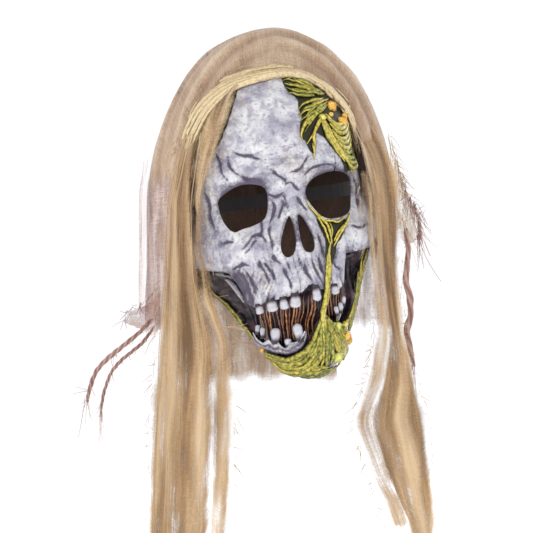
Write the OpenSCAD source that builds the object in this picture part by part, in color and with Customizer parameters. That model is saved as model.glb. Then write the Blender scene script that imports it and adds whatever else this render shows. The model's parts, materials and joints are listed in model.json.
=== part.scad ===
// Hooded latex skull mask, as worn on a head that leans to the wearer's right.
// The face looks along -Y, +X is the wearer's left and +Z is up. The origin is the
// centre of the wearer's head at eye level. Millimetres.

/* [Wearing] */
// Lean of the head and the latex face towards the wearer's right
lean = 7.5; // [0:0.5:10]

/* [Latex face] */
// Half width over the cheekbones
cheek_half_w = 78; // [75:0.5:80]
// Depth from the head centre to the upper gum
muzzle_depth = 117; // [114:0.5:120]
// Thickness of the cast latex
latex_t = 2.5; // [2:0.1:3]

/* [Jaw] */
// How far the lower jaw sits inside the line of the cheekbones
jaw_inset = 5; // [4.5:0.1:6]
// Height of the bend in the latex that the jaw turns about
jaw_pivot_z = -30; // [-34:1:-26]

/* [Strap] */
// Width of the elastic
elastic_w = 12; // [10:1:16]
// Thickness of the elastic
elastic_t = 1.4; // [1.2:0.1:1.8]

/* [Gauze hood] */
// Half width of the hood over the ears
hood_half_w = 104; // [102:1:108]
// Height of the crown above eye level
hood_h = 150; // [146:1:154]
// Distance from the head centre to the back of the hood
hood_back = 118; // [114:1:124]
// Thickness that the layered gauze takes up
gauze_t = 2.5; // [2:0.25:3]
// Lowest point of the front drapes, below eye level
drape_low = 290; // [270:5:300]
// Lowest point of the back curtain, below eye level
curtain_low = 170; // [150:5:180]

/* [Hidden] */

bone = [0.82, 0.82, 0.86];
flesh = [0.62, 0.60, 0.16];
boil = [0.80, 0.50, 0.12];
dark = [0.13, 0.09, 0.12];
sinew = [0.48, 0.24, 0.13];
gauze = [0.74, 0.60, 0.42];
elastic = [0.12, 0.12, 0.13];
steel = [0.70, 0.70, 0.72];

hood_front = 83;     // front semi-axis of the hood's ellipsoid
face_plane = -55;    // the hood's front opening lies in this plane
roll_r = 6;          // radius of the gathered gauze along the forehead
pole_gap = 2;        // degrees left open at the back of the hood's ellipsoid
veil_end = 136;      // the side veils end this many degrees round from the front
veil_low = 120;      // lowest point of the side veils, below eye level

// Shape of the face: shares of the cheekbone half width and of the muzzle depth, by height
WIDTH_SHARE = [[-150, .33], [-140, .46], [-120, .60], [-100, .70], [-80, .77], [-60, .87], [-40, .98],
    [-15, 1], [10, .96], [40, .98], [65, .93], [85, .80], [100, .62], [112, .42]];
DEPTH_SHARE = [[-150, .74], [-140, .85], [-120, .90], [-100, .92], [-85, 1], [-60, .99], [-45, .94],
    [-20, .92], [0, .86], [18, .92], [35, .89], [60, .83], [80, .74], [95, .63], [105, .53], [112, .44]];

// Eye holes and nose holes, as outlines seen from the front
RIGHT_EYE = [[-57, 4], [-54, 11], [-40, 17], [-19, 14], [-16, 5], [-19, -11], [-31, -16], [-47, -20],
    [-54, -10]];
LEFT_EYE = [[13, 5], [18, 16], [32, 20], [46, 20], [56, 14], [57, 3], [52, -15], [42, -18], [28, -18],
    [20, -8]];
NOSE_HOLE = [[1.5, -11], [8.5, -18], [13.5, -32], [13, -41], [8, -44], [2, -40]];

// Left and right edges of each front drape, by height
RIGHT_DRAPE_OUTER = [[-290, -113], [-177, -110], [-112, -104], [-80, -100], [-22, -92], [26, -85],
    [62, -68]];
RIGHT_DRAPE_INNER = [[-290, -60], [-177, -56], [-112, -56], [-80, -64], [-22, -74], [26, -68],
    [62, -48]];
LEFT_DRAPE_OUTER = [[-290, 124], [-245, 124], [-187, 119], [-137, 107], [-46, 103], [11, 99], [56, 86]];
LEFT_DRAPE_INNER = [[-290, 104], [-264, 98], [-220, 84], [-178, 70], [-146, 80], [-104, 90], [-46, 86],
    [11, 80], [56, 69]];

// Torn gauze twisted into cords: the route of each, from where it leaves the hood
RIGHT_UPPER_ROUTE = [[-104, -36, -95], [-108, -37, -99], [-112, -38, -103], [-116, -39, -107],
    [-121, -40, -111], [-126, -40, -115], [-131, -41, -119], [-136, -41, -123], [-141, -41, -127],
    [-146, -41, -132], [-150, -40, -137], [-153, -40, -143], [-155, -40, -149], [-157, -40, -156],
    [-158, -40, -163]];
RIGHT_LOWER_ROUTE = [[-102, -30, -101], [-105, -30, -106], [-109, -31, -111], [-113, -31, -116],
    [-118, -32, -120], [-123, -32, -124], [-128, -32, -128], [-133, -32, -133], [-137, -32, -138],
    [-140, -32, -144], [-142, -32, -150], [-144, -32, -156], [-145, -32, -162], [-146, -32, -168],
    [-146, -32, -174]];
LEFT_TWIST_ROUTE = [[105, -52, -20], [106, -52, -28], [107, -52, -36], [107, -52, -44], [106, -53, -52],
    [105, -53, -60], [106, -53, -68], [108, -53, -76], [109, -53, -84], [109, -53, -92], [107, -53, -100],
    [106, -53, -108], [108, -53, -117], [110, -53, -126], [112, -53, -135]];

function spow(x, p) = sign(x) * pow(abs(x), p);
function bell(x, c, s) = exp(-pow((x - c) / s, 2));
function lerp(a, b, t) = a + (b - a) * t;
function ease(a, b, x) = let (t = max(0, min(1, (x - a) / (b - a)))) t * t * (3 - 2 * t);
function unit(v) = v / norm(v);

// Brow, socket, cheekbone and temple, as heights above the plain head form
function relief(th, v) = 5 * bell(v, 24, 10) * bell(abs(th), 24, 26)
    - 7 * bell(v, 0, 16) * bell(abs(th), 26, 15)
    + 4 * bell(v, -36, 12) * bell(abs(th), 52, 20)
    - 4 * bell(v, 50, 24) * bell(abs(th), 78, 20);

// Point of the face at an angle from the front and a height, a distance out from the skin
function skin(th, v, out = 0) = let (r = relief(th, v) + out)
    [(cheek_half_w * lookup(v, WIDTH_SHARE) + r) * spow(sin(th), .92),
     -(muzzle_depth * lookup(v, DEPTH_SHARE) + r) * spow(cos(th), .75), v];

function bone_low(th) = lerp(-88, -45, ease(24, 44, abs(th)));
function bone_high(th) = lerp(108, 64, ease(25, 85, abs(th)));
function jaw_low(th) = lerp(-147, -74, ease(26, 74, abs(th)));
function jaw_high(th) = lerp(-120, -55, ease(22, 70, abs(th)));

// Point of the hood: phi goes round the opening from the crown, psi from the front to the back
function dome(phi, psi, out = 0) = [(hood_half_w + out) * sin(psi) * sin(phi),
    -(cos(psi) > 0 ? hood_front + out : hood_back + out) * cos(psi),
    (hood_h + out) * sin(psi) * cos(phi)];
psi_front = acos(-face_plane / hood_front);

module on_head() rotate([0, -lean, 0]) children();

// Closed solid between two grids of points, whose rows go up and whose columns go to the right
// as seen from outside
module skinned(outer, inner) {
    rows = len(outer);
    cols = len(outer[0]);
    n = rows * cols;
    points = [each [for (r = outer) each r], each [for (r = inner) each r]];
    faces = [
        for (r = [0:rows - 2], c = [0:cols - 2]) let (a = r * cols + c, b = a + 1, d = a + cols, e = d + 1)
            each [[a, d, e], [a, e, b], [a + n, e + n, d + n], [a + n, b + n, e + n]],
        for (c = [0:cols - 2]) let (a = c, b = c + 1, d = (rows - 1) * cols + c, e = d + 1)
            each [[a, b, b + n], [a, b + n, a + n], [e, d, d + n], [e, d + n, e + n]],
        for (r = [0:rows - 2]) let (a = r * cols, d = a + cols, b = a + cols - 1, e = b + cols)
            each [[d, a, a + n], [d, a + n, d + n], [b, e, e + n], [b, e + n, b + n]]];
    polyhedron(points, faces);
}

// Tube along a list of points, with a radius for each point
module tube(path, radii, sides = 8) {
    m = len(path);
    rings = [for (i = [0:m - 1])
        let (d = unit(path[min(i + 1, m - 1)] - path[max(i - 1, 0)]),
             side = unit(cross(d, [0.05, 1, 0.02])), up = cross(d, side))
        for (a = [0:360 / sides:359]) path[i] + radii[i] * (side * cos(a) + up * sin(a))];
    faces = [[for (k = [0:sides - 1]) k], [for (k = [sides - 1:-1:0]) (m - 1) * sides + k],
        for (i = [0:m - 2], k = [0:sides - 1])
            let (a = i * sides + k, b = i * sides + (k + 1) % sides, e = a + sides, f = b + sides)
            each [[a, e, f], [a, f, b]]];
    polyhedron(rings, faces);
}

module skull_shell() color(bone) on_head() difference() {
    angles = [-84:7:84];
    rows = 26;
    skinned([for (k = [0:rows]) [for (th = angles) skin(th, lerp(bone_low(th), bone_high(th), k / rows))]],
            [for (k = [0:rows]) [for (th = angles)
                skin(th, lerp(bone_low(th), bone_high(th), k / rows), -latex_t)]]);
    for (outline = [RIGHT_EYE, LEFT_EYE, NOSE_HOLE, [for (p = NOSE_HOLE) [-p[0], p[1]]]])
        rotate([90, 0, 0]) linear_extrude(150) polygon(outline);
}

// Lump that lies on the face between angles and heights, thick in the middle and thin at its rim
module lump(th0, th1, v0, v1, thick, under = 0.6, steps = 10) {
    grow = [for (r = [0:steps]) [for (c = [0:steps])
        0.5 + thick * pow(sin(180 * r / steps), 0.5) * pow(sin(180 * c / steps), 0.5)]];
    skinned([for (r = [0:steps]) [for (c = [0:steps])
                skin(lerp(th0, th1, c / steps), lerp(v0, v1, r / steps), grow[r][c])]],
            [for (r = [0:steps]) [for (c = [0:steps])
                skin(lerp(th0, th1, c / steps), lerp(v0, v1, r / steps), -under)]]);
}

module right_temple_flesh() color(flesh) on_head() lump(-62, -40, 58, 92, 2.5);

module left_temple_flesh() color(flesh) on_head() {
    lump(8, 62, 58, 98, 4);
    lump(24, 60, 27, 58, 3.5);
}

module temple_boils() color(boil) on_head()
    for (p = [[46, 78, 5], [56, 58, 4.5], [52, 70, 4], [34, 66, 3.5]])
        translate(skin(p[0], p[1], 4)) sphere(p[2], $fn = 20);

module socket_web() color(flesh) on_head() {
    tube([skin(14, -8, 2), skin(19, -22, 3), skin(22, -34, 3)], [1.5, 2, 2.5]);
    tube([skin(42, -17, 2), skin(33, -28, 3), skin(22, -40, 3)], [1.5, 2, 2.5]);
    tube([skin(17, -20, 2), skin(28, -23, 3), skin(38, -20, 2)], [1.5, 1.5, 1.5]);
}

module flesh_strand() color(flesh) on_head()
    tube([skin(22, -40, 4), skin(23, -52, 4), skin(23, -64, 4), skin(21, -76, 4), skin(19, -90, 4)],
         [2.5, 2.5, 2.2, 2.2, 2.5]);

// A tooth that stands on its root at the origin and points along +Z
module tooth(r, h) rotate_extrude($fn = 24)
    polygon([[0, -2], [r * .7, -2], [r, h * .3], [r * .92, h * .75], [r * .5, h], [0, h]]);

module upper_teeth() color(bone) on_head()
    for (t = [[-27, 3.6, 7], [-20, 4.2, 8.5], [-13, 3.8, 8.5], [-6, 4.4, 10], [9, 3.8, 10], [24, 4, 9]])
        translate(skin(t[0], -81, -4.2)) rotate([172, 0, 0]) tooth(t[1], t[2]);

module lower_teeth() color(bone) on_head()
    for (t = [[-34, 3.4, 8], [-24, 4, 10], [-7, 4.2, 11], [12, 3.6, 9], [26, 3.4, 8]])
        translate(skin(t[0], -112, -4)) rotate([8, 0, 0]) tooth(t[1], t[2]);

function recess(v) = lerp(-20, -latex_t, ease(-58, -44, v));
module mouth_skin() color(dark) on_head() {
    angles = [-70:10:70];
    heights = [-112, -102, -92, -82, -72, -62, -58, -54.5, -51, -47.5, -44];
    skinned([for (v = heights) [for (th = angles) skin(th, v, recess(v))]],
            [for (v = heights) [for (th = angles) skin(th, v, recess(v) - latex_t)]]);
}

module mouth_sinews() color(sinew) on_head()
    for (th = [-30:6:36])
        tube([skin(th, -78, -8), skin(th * .98, -90, -13), skin(th * .95, -102, -17)], [1.6, 1.1, 1.6], 6);

module jaw_shell() color(dark) on_head() {
    angles = [-76:8:76];
    rows = 6;
    skinned([for (k = [0:rows]) [for (th = angles)
                skin(th, lerp(jaw_low(th), jaw_high(th), k / rows), -jaw_inset)]],
            [for (k = [0:rows]) [for (th = angles)
                skin(th, lerp(jaw_low(th), jaw_high(th), k / rows), -jaw_inset - latex_t)]]);
}

module gum_ridge() color(bone) on_head()
    tube([for (th = [-36:8:36]) skin(th, -116 - 2 * cos(th * 10) + abs(th) * .12, -3.5)],
         [for (th = [-36:8:36]) 3]);

module chin_flesh() color(flesh) on_head() {
    angles = [for (th = [-30:6:66]) th];
    rows = 6;
    low = [for (th = angles) jaw_low(th) + 1];
    high = [for (th = angles) lerp(-121, jaw_high(th) - 1, ease(24, 60, abs(th)))];
    skinned([for (k = [0:rows]) [for (c = [0:len(angles) - 1])
                skin(angles[c], lerp(low[c], high[c], k / rows), -4 + 4.5 * sin(180 * k / rows))]],
            [for (k = [0:rows]) [for (c = [0:len(angles) - 1])
                skin(angles[c], lerp(low[c], high[c], k / rows), -jaw_inset - .6)]]);
}

module jaw_boils() color(boil) on_head()
    for (p = [[44, -106, 4.2], [38, -112, 3.2], [50, -99, 3], [-26, -130, 2.6]])
        translate(skin(p[0], p[1], 0)) sphere(p[2], $fn = 20);

strap_z = 6;
strap_front = -8;
strap_half = cheek_half_w - latex_t - 5.2;
strap_back = 92;

module strap_tab(side) on_head()
    translate([side * (strap_half + elastic_t + .5), strap_front, strap_z]) rotate([0, side * 90, 0])
        linear_extrude(1.2) hull()
            for (y = [-1, 1], x = [-1, 1]) translate([x * 8, y * 6]) circle(3, $fn = 24);
module right_strap_tab() color(elastic) strap_tab(-1);
module left_strap_tab() color(elastic) strap_tab(1);

// Plan of the elastic: two straight ends that run back into half an ellipse round the head
function strap_plan(out) = [[strap_half + out, strap_front - 6],
    for (a = [0:9:180]) [(strap_half + out) * cos(a), 20 + (strap_back - 20 + out) * sin(a)],
    [-strap_half - out, strap_front - 6]];
module elastic_strap() color(elastic) on_head()
    translate([0, 0, strap_z - elastic_w / 2]) linear_extrude(elastic_w)
        polygon([each strap_plan(elastic_t),
            each [for (i = [len(strap_plan(0)) - 1:-1:0]) strap_plan(0)[i]]]);

module strap_staples() color(steel) on_head()
    for (side = [-1, 1], dz = [-3, 3])
        translate([side * (strap_half - .35), strap_front, strap_z + dz]) {
            rotate([90, 0, 0]) cylinder(h = 9, r = .35, center = true, $fn = 16);
            for (y = [-4.15, 4.15]) translate([0, y, 0]) rotate([0, side * 90, 0])
                cylinder(h = elastic_t + .3, r = .35, $fn = 16);
        }

function roll_height(th) = 109 - 74 * pow(abs(th) / 68, 5);
roll_angles = [-68:8.5:68];
module brow_roll() color(gauze) on_head()
    tube([for (th = roll_angles) skin(th, roll_height(th), roll_r)],
         [for (th = roll_angles) roll_r * (1 - .35 * pow(abs(th) / 68, 4))], 10);

module hood_glue_line() color(elastic) on_head()
    for (th = [-56:14:56]) translate(skin(th, roll_height(th) - 5, .6)) sphere(1.6, $fn = 14);

module hood_cap() color(gauze) {
    phis = [-90:9:90];
    rows = 15;
    psi = [for (k = [0:rows]) lerp(180 - pole_gap, psi_front, k / rows)];
    skinned([for (a = psi) [for (phi = phis) dome(-phi, a)]],
            [for (a = psi) [for (phi = phis) dome(-phi, a, -gauze_t)]]);
}

// Point of a sheet that hangs from the hood's rim: how far round the rim, and how far out
function rim(psi, out) = [(hood_half_w + out) * sin(psi),
    -(cos(psi) > 0 ? hood_front + out : hood_back + out) * cos(psi)];

// Upright gauze sheet with shallow folds, between two angles round the hood's rim
module hanging(psi0, psi1, top, low, fold = 2) {
    steps = 26;
    angles = [for (k = [0:steps]) lerp(psi0, psi1, k / steps)];
    outer = [for (k = [0:steps]) rim(angles[k], fold * sin(k * 60))];
    inner = [for (k = [steps:-1:0]) rim(angles[k], fold * sin(k * 60) - gauze_t)];
    translate([0, 0, -low]) linear_extrude(low - top) polygon([each outer, each inner]);
}
module right_side_veil() color(gauze) mirror([1, 0, 0]) hanging(psi_front + 2, veil_end, 0, veil_low);
module left_side_veil() color(gauze) hanging(psi_front + 2, veil_end, 0, veil_low);
module back_curtain() color(gauze) hanging(veil_end + 4, 356 - veil_end, 4, curtain_low);

// Sheer loose layer that stands off the hood's right side
function bulge(y, z) = hood_half_w + 5 * sin(180 * (z + 105) / 130) + 3.2 * (1 - abs(y) / 40);
module right_outer_veil() color(gauze) {
    heights = [-105:13:25];
    depths = [40:-10:-20];
    skinned([for (z = heights) [for (y = depths) [-bulge(y, z), y, z]]],
            [for (z = heights) [for (y = depths) [1.2 - bulge(y, z), y, z]]]);
}

// How far forward a front drape hangs: clear of the face above, plumb below
function drape_y(x, z) = lerp(-(62 + 40 * ease(96, 40, abs(x))), -84, ease(-60, -150, z));

// Folded sheet between a left and a right edge that change with height
module drape(left, right, low, high, folds, fold = 4, forward = 0, t = gauze_t) {
    rows = 20;
    cols = 14;
    grid = [for (r = [0:rows]) let (z = lerp(low, high, r / rows)) [for (c = [0:cols])
        let (x = lerp(lookup(z, left), lookup(z, right), c / cols))
        [x, drape_y(x, z) - forward + fold * sin(360 * folds * c / cols + z * .6), z]]];
    skinned(grid, [for (r = grid) [for (p = r) p + [0, t, 0]]]);
}
module right_drape() color(gauze) drape(RIGHT_DRAPE_OUTER, RIGHT_DRAPE_INNER, -drape_low, 60, 3);
module left_drape() color(gauze) drape(LEFT_DRAPE_INNER, LEFT_DRAPE_OUTER, -drape_low, 54, 2);

function shifted(table, dx) = [for (p = table) [p[0], p[1] + dx]];
module right_inner_strip() color(gauze)
    drape(shifted(RIGHT_DRAPE_INNER, 1.5), shifted(RIGHT_DRAPE_INNER, 13), -drape_low + 8, 58, 1, 2, 3, 2);
module left_inner_strip() color(gauze)
    drape(shifted(LEFT_DRAPE_INNER, -9), shifted(LEFT_DRAPE_INNER, -1.5), -drape_low + 14, 20, 1, 2, 0, 2);

// Torn corner of net, flat between its outline points
module net(outline, y, t = 1.6) color(gauze) translate([0, y, 0]) rotate([90, 0, 0]) linear_extrude(t)
    polygon(outline);
module right_net_fan()
    net([[-98, -68], [-112, -82], [-122, -86], [-128, -98], [-117, -104], [-98, -110]], -40);
module left_torn_flap() net([[102, 30], [108, 8], [121, -6], [118, -30], [112, -14], [104, -30]], -40);

function cord_radius(i, last, r) = r * (0.7 + 0.3 * sin(180 * i / last));
module cord(route, r) color(gauze)
    tube(route, [for (i = [0:len(route) - 1]) cord_radius(i, len(route) - 1, r)]);
module right_cord_upper() cord(RIGHT_UPPER_ROUTE, 2.2);
module right_cord_lower() cord(RIGHT_LOWER_ROUTE, 1.6);
module left_twist() cord(LEFT_TWIST_ROUTE, 3);

skull_shell();
right_temple_flesh();
left_temple_flesh();
temple_boils();
socket_web();
flesh_strand();
upper_teeth();
mouth_skin();
mouth_sinews();
right_strap_tab();
left_strap_tab();
brow_roll();
hood_glue_line();
hood_cap();
right_side_veil();
left_side_veil();
right_outer_veil();
right_net_fan();
right_cord_upper();
right_cord_lower();
left_torn_flap();
jaw_shell();
lower_teeth();
gum_ridge();
chin_flesh();
jaw_boils();
elastic_strap();
strap_staples();
right_drape();
right_inner_strip();
left_drape();
left_inner_strip();
left_twist();
back_curtain();
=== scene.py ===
import bpy
import bmesh
import json
import math
import numpy as np
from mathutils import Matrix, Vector, noise


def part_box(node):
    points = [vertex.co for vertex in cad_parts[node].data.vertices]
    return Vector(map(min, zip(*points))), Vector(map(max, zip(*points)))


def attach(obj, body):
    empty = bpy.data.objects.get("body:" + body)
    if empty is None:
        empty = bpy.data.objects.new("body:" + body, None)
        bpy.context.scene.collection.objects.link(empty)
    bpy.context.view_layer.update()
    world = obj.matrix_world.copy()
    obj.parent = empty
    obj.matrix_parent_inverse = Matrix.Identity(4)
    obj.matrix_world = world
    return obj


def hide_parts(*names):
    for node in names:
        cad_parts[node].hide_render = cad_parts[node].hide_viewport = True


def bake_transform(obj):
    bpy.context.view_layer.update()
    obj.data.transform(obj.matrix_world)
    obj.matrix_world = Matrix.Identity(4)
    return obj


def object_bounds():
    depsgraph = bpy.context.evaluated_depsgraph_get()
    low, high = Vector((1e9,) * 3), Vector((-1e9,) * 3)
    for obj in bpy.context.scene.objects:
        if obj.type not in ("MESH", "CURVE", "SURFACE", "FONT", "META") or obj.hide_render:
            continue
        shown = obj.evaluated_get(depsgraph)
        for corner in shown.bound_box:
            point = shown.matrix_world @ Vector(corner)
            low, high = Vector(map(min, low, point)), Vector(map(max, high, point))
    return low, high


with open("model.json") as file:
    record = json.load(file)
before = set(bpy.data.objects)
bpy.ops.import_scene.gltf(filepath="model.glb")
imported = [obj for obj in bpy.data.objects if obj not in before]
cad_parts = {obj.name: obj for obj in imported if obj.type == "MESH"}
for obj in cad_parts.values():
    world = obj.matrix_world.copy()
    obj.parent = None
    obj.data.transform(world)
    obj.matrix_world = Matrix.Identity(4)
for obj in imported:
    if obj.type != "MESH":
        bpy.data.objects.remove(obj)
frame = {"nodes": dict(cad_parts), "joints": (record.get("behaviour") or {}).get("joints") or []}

# Size of the imported frame; its low corner sets the floor's height.
MM = 0.001
frame_low, frame_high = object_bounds()
rng = np.random.default_rng(31)

# Camera: level, a little to the wearer's right of straight ahead, at portrait distance.
CAMERA_SIDE = math.radians(8)
CAMERA_DISTANCE = 1.80
CAMERA_RISE = -0.052
CAMERA_SHIFT_RIGHT = -0.0042
camera = bpy.data.objects.new("camera", bpy.data.cameras.new("camera"))
camera.data.lens = 143.5
camera.data.sensor_width = 36
ahead = Vector((math.sin(CAMERA_SIDE), math.cos(CAMERA_SIDE), 0))
rightward = Vector((math.cos(CAMERA_SIDE), -math.sin(CAMERA_SIDE), 0))
camera.location = rightward * CAMERA_SHIFT_RIGHT - ahead * CAMERA_DISTANCE + Vector((0, 0, CAMERA_RISE))
camera.rotation_euler = (math.pi / 2, 0, -CAMERA_SIDE)
bpy.context.scene.collection.objects.link(camera)
bpy.context.scene.camera = camera

# Floor: a plain pale sheet well below the hem, and a bright white surround.
# The lights are large soft boxes: a key above the camera, a fill and two rims for the gauze.
FLOOR_Z = frame_low[2] - 0.06


def new_object(name, mesh):
    piece = bpy.data.objects.new(name, mesh)
    bpy.context.scene.collection.objects.link(piece)
    return piece


def mesh_from(name, points, faces, smooth=True):
    mesh = bpy.data.meshes.new(name)
    mesh.from_pydata([tuple(p) for p in points], [], [tuple(f) for f in faces])
    mesh.update()
    mesh.polygons.foreach_set("use_smooth", [smooth] * len(mesh.polygons))
    return new_object(name, mesh)


def add(tree, kind, settings=None, **inputs):
    node = tree.nodes.new("ShaderNode" + kind)
    for key, value in (settings or {}).items():
        setattr(node, key, value)
    for key, value in inputs.items():
        by_number = key[0] == "i" and key[1:].isdigit()
        socket = node.inputs[int(key[1:]) if by_number else key.replace("_", " ")]
        if isinstance(value, bpy.types.NodeSocket):
            tree.links.new(value, socket)
        else:
            socket.default_value = value
    return node


def new_material(name, **sockets):
    material = bpy.data.materials.new(name)
    material.use_nodes = True
    tree = material.node_tree
    shader = tree.nodes["Principled BSDF"]
    for key, value in sockets.items():
        shader.inputs[key.replace("_", " ")].default_value = value
    return material, tree, shader


def ramp(tree, factor, *stops):
    node = add(tree, "ValToRGB", Fac=factor)
    elements = node.color_ramp.elements
    while len(elements) < len(stops):
        elements.new(0.5)
    for element, (place, colour) in zip(elements, stops):
        element.position = place
        element.color = (*colour, 1)
    return node.outputs["Color"]


def sums(tree, operation, a, b, c=0.0):
    return add(tree, "Math", {"operation": operation}, i0=a, i1=b, i2=c).outputs[0]


def cloudy(tree, scale, detail=3.0, vector=None, distortion=0.0):
    vector = vector or add(tree, "TexCoord").outputs["Object"]
    return add(tree, "TexNoise", Vector=vector, Scale=scale, Detail=detail,
               Distortion=distortion).outputs["Fac"]


def coloured(tree, shader, colour):
    tree.links.new(colour, shader.inputs["Base Color"])


def bumped(tree, shader, height, strength, distance):
    bump = add(tree, "Bump", Height=height, Strength=strength, Distance=distance)
    tree.links.new(bump.outputs["Normal"], shader.inputs["Normal"])


floor_mat, tree, shader = new_material("floor_paper", Roughness=0.9, Specular_IOR_Level=0.1,
                                       Emission_Strength=0.5)
shader.inputs["Emission Color"].default_value = (0.98, 0.98, 1.0, 1)
tone = ramp(tree, cloudy(tree, 3.0), (0.3, (0.86, 0.86, 0.87)), (0.7, (0.90, 0.90, 0.90)))
coloured(tree, shader, tone)
floor = mesh_from("floor", [(x, y, FLOOR_Z) for y in (-6, 6) for x in (-6, 6)], [(0, 1, 3, 2)])
floor.data.materials.append(floor_mat)

world = bpy.data.worlds.new("surround")
world.use_nodes = True
background = world.node_tree.nodes["Background"]
background.inputs["Color"].default_value = (0.98, 0.98, 1.0, 1)
seen = add(world.node_tree, "LightPath").outputs["Is Camera Ray"]
world.node_tree.links.new(sums(world.node_tree, "MULTIPLY_ADD", seen, 0.40, 0.65),
                          background.inputs["Strength"])
bpy.context.scene.world = world
bpy.context.scene.view_settings.view_transform = "Standard"


def soft_box(name, place, width, power, colour=(1, 1, 1)):
    light = bpy.data.lights.new(name, "AREA")
    light.shape = "SQUARE"
    light.size = width
    light.energy = power
    light.color = colour
    lamp = bpy.data.objects.new(name, light)
    lamp.location = place
    lamp.rotation_euler = (Vector((0, -0.05, -0.03)) - Vector(place)).to_track_quat("-Z", "Y").to_euler()
    bpy.context.scene.collection.objects.link(lamp)


soft_box("key_light", (-0.55, -1.5, 0.95), 0.7, 12.5, (1.0, 0.98, 0.95))
soft_box("fill_light", (1.1, -1.2, 0.2), 1.0, 1.5, (0.95, 0.96, 1.0))
soft_box("rim_light_right", (-1.1, 0.9, 0.6), 0.8, 8)
soft_box("rim_light_left", (1.1, 0.9, 0.5), 0.8, 8)

# Form of the latex face. The head leans, and the lean is the angle of the jaw's axis in the frame.
# Face points are made upright in millimetres: across (u), up (v), and out from the plain form.
jaw_joint = next(j for j in frame["joints"] if j["name"] == "jaw_flex")
LEAN = math.atan2(jaw_joint["axis"][2], jaw_joint["axis"][0])
CHEEK_HALF_W = 78
MUZZLE_DEPTH = 117
WIDTH_SHARE = [(-150, .33), (-140, .46), (-120, .60), (-100, .70), (-80, .77), (-60, .87), (-40, .98),
               (-15, 1), (10, .96), (40, .98), (65, .93), (85, .80), (100, .62), (112, .42), (118, .36)]
DEPTH_SHARE = [(-150, .74), (-140, .85), (-120, .90), (-100, .92), (-85, 1), (-60, .99), (-45, .94),
               (-20, .92), (0, .86), (18, .92), (35, .89), (60, .83), (80, .74), (95, .63), (105, .53),
               (112, .44), (118, .38)]
RIGHT_EYE = [(-57, 4), (-54, 11), (-40, 18), (-28, 18), (-18, 14), (-16, 5), (-19, -11), (-31, -16),
             (-40, -17), (-47, -20), (-54, -11)]
LEFT_EYE = [(13, 5), (18, 15), (32, 20), (46, 20), (56, 15), (58, 3), (54, -14), (43, -18), (28, -18),
            (20, -9)]
RIGHT_NOSE = [(-1.5, -10), (-5, -14), (-9, -22), (-13, -32), (-13, -41), (-8, -45), (-2, -41), (0, -30)]
LEFT_NOSE = [(4, -10), (8, -13), (12, -23), (15, -33), (14, -41), (9, -43), (4, -39), (2.5, -25)]


def ease(a, b, x):
    t = np.clip((x - a) / (b - a), 0, 1)
    return t * t * (3 - 2 * t)


def smooth_table(v, table):
    height, share = np.array(table, float).T
    return sum(np.interp(v + shift, height, share) for shift in (-6, -3, 0, 3, 6)) / 5


def rounded(outline, times=2):
    points = np.array(outline, float)
    for _ in range(times):
        after = np.roll(points, -1, axis=0)
        points = np.stack([points * .75 + after * .25, points * .25 + after * .75], 1).reshape(-1, 2)
    return points


def curve(points, count):
    points = np.array(points, float)
    whole = np.vstack([2 * points[0] - points[1], points, 2 * points[-1] - points[-2]])
    lengths = np.r_[0, np.cumsum(np.linalg.norm(np.diff(points, axis=0), axis=1))]
    out = []
    for place in np.linspace(0, lengths[-1], count):
        k = min(np.searchsorted(lengths, place, side="right") - 1, len(points) - 2)
        t = (place - lengths[k]) / (lengths[k + 1] - lengths[k])
        a, b, c, d = whole[k:k + 4]
        square = 2 * a - 5 * b + 4 * c - d
        cube = 3 * b - a - 3 * c + d
        out.append(.5 * (2 * b + (c - a) * t + square * t ** 2 + cube * t ** 3))
    return np.array(out)


def from_line(u, v, line):
    best = np.full(u.shape, 1e9)
    along = np.zeros(u.shape)
    near_u = np.zeros(u.shape)
    near_v = np.zeros(u.shape)
    for k, ((ax, ay), (bx, by)) in enumerate(zip(line[:-1], line[1:])):
        dx, dy = bx - ax, by - ay
        t = np.clip(((u - ax) * dx + (v - ay) * dy) / (dx * dx + dy * dy + 1e-9), 0, 1)
        distance = np.hypot(u - ax - t * dx, v - ay - t * dy)
        closer = distance < best
        best = np.where(closer, distance, best)
        along = np.where(closer, (k + t) / (len(line) - 1), along)
        near_u = np.where(closer, ax + t * dx, near_u)
        near_v = np.where(closer, ay + t * dy, near_v)
    return best, along, near_u, near_v


def from_outline(u, v, outline):
    closed = np.vstack([outline, outline[:1]])
    distance, _, near_u, near_v = from_line(u, v, closed)
    inside = np.zeros(u.shape, bool)
    for (ax, ay), (bx, by) in zip(closed[:-1], closed[1:]):
        if ay != by:
            inside ^= ((ay > v) != (by > v)) & (u < (bx - ax) * (v - ay) / (by - ay) + ax)
    return np.where(inside, -distance, distance), near_u, near_v


def bump_at(u, v, cu, cv, ru, rv, height):
    return height * np.exp(-((u - cu) / ru) ** 2 - ((v - cv) / rv) ** 2)


def ridge(u, v, line, radius, height, count=14):
    distance, along, _, _ = from_line(u, v, curve(line, count))
    return height * np.exp(-(distance / radius) ** 2) * np.sqrt(np.clip(4 * along * (1 - along) + .25, 0, 1))


# The bones under the painted surface: brows, sockets, cheekbones, temples, muzzle and tooth roots.
BROWS = [[(-60, 12), (-55, 21), (-43, 26), (-30, 25), (-20, 20), (-11, 12)],
         [(9, 13), (17, 22), (30, 27), (44, 28), (57, 23), (62, 10)]]
CHEEKS = [[(-76, -20), (-70, -33), (-58, -39), (-44, -38), (-34, -30)],
          [(74, -16), (70, -32), (58, -37), (47, -36)]]
UPPER_TEETH = [(-35, -82, 3.8, 8.5, 8), (-26, -80, 5.2, 11, 4), (-17, -79.5, 4.2, 10.5, 2),
               (-8, -78.5, 5.0, 12, -5), (9.5, -75, 4.1, 13, 2), (25.5, -74, 3.9, 9, 0)]


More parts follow.
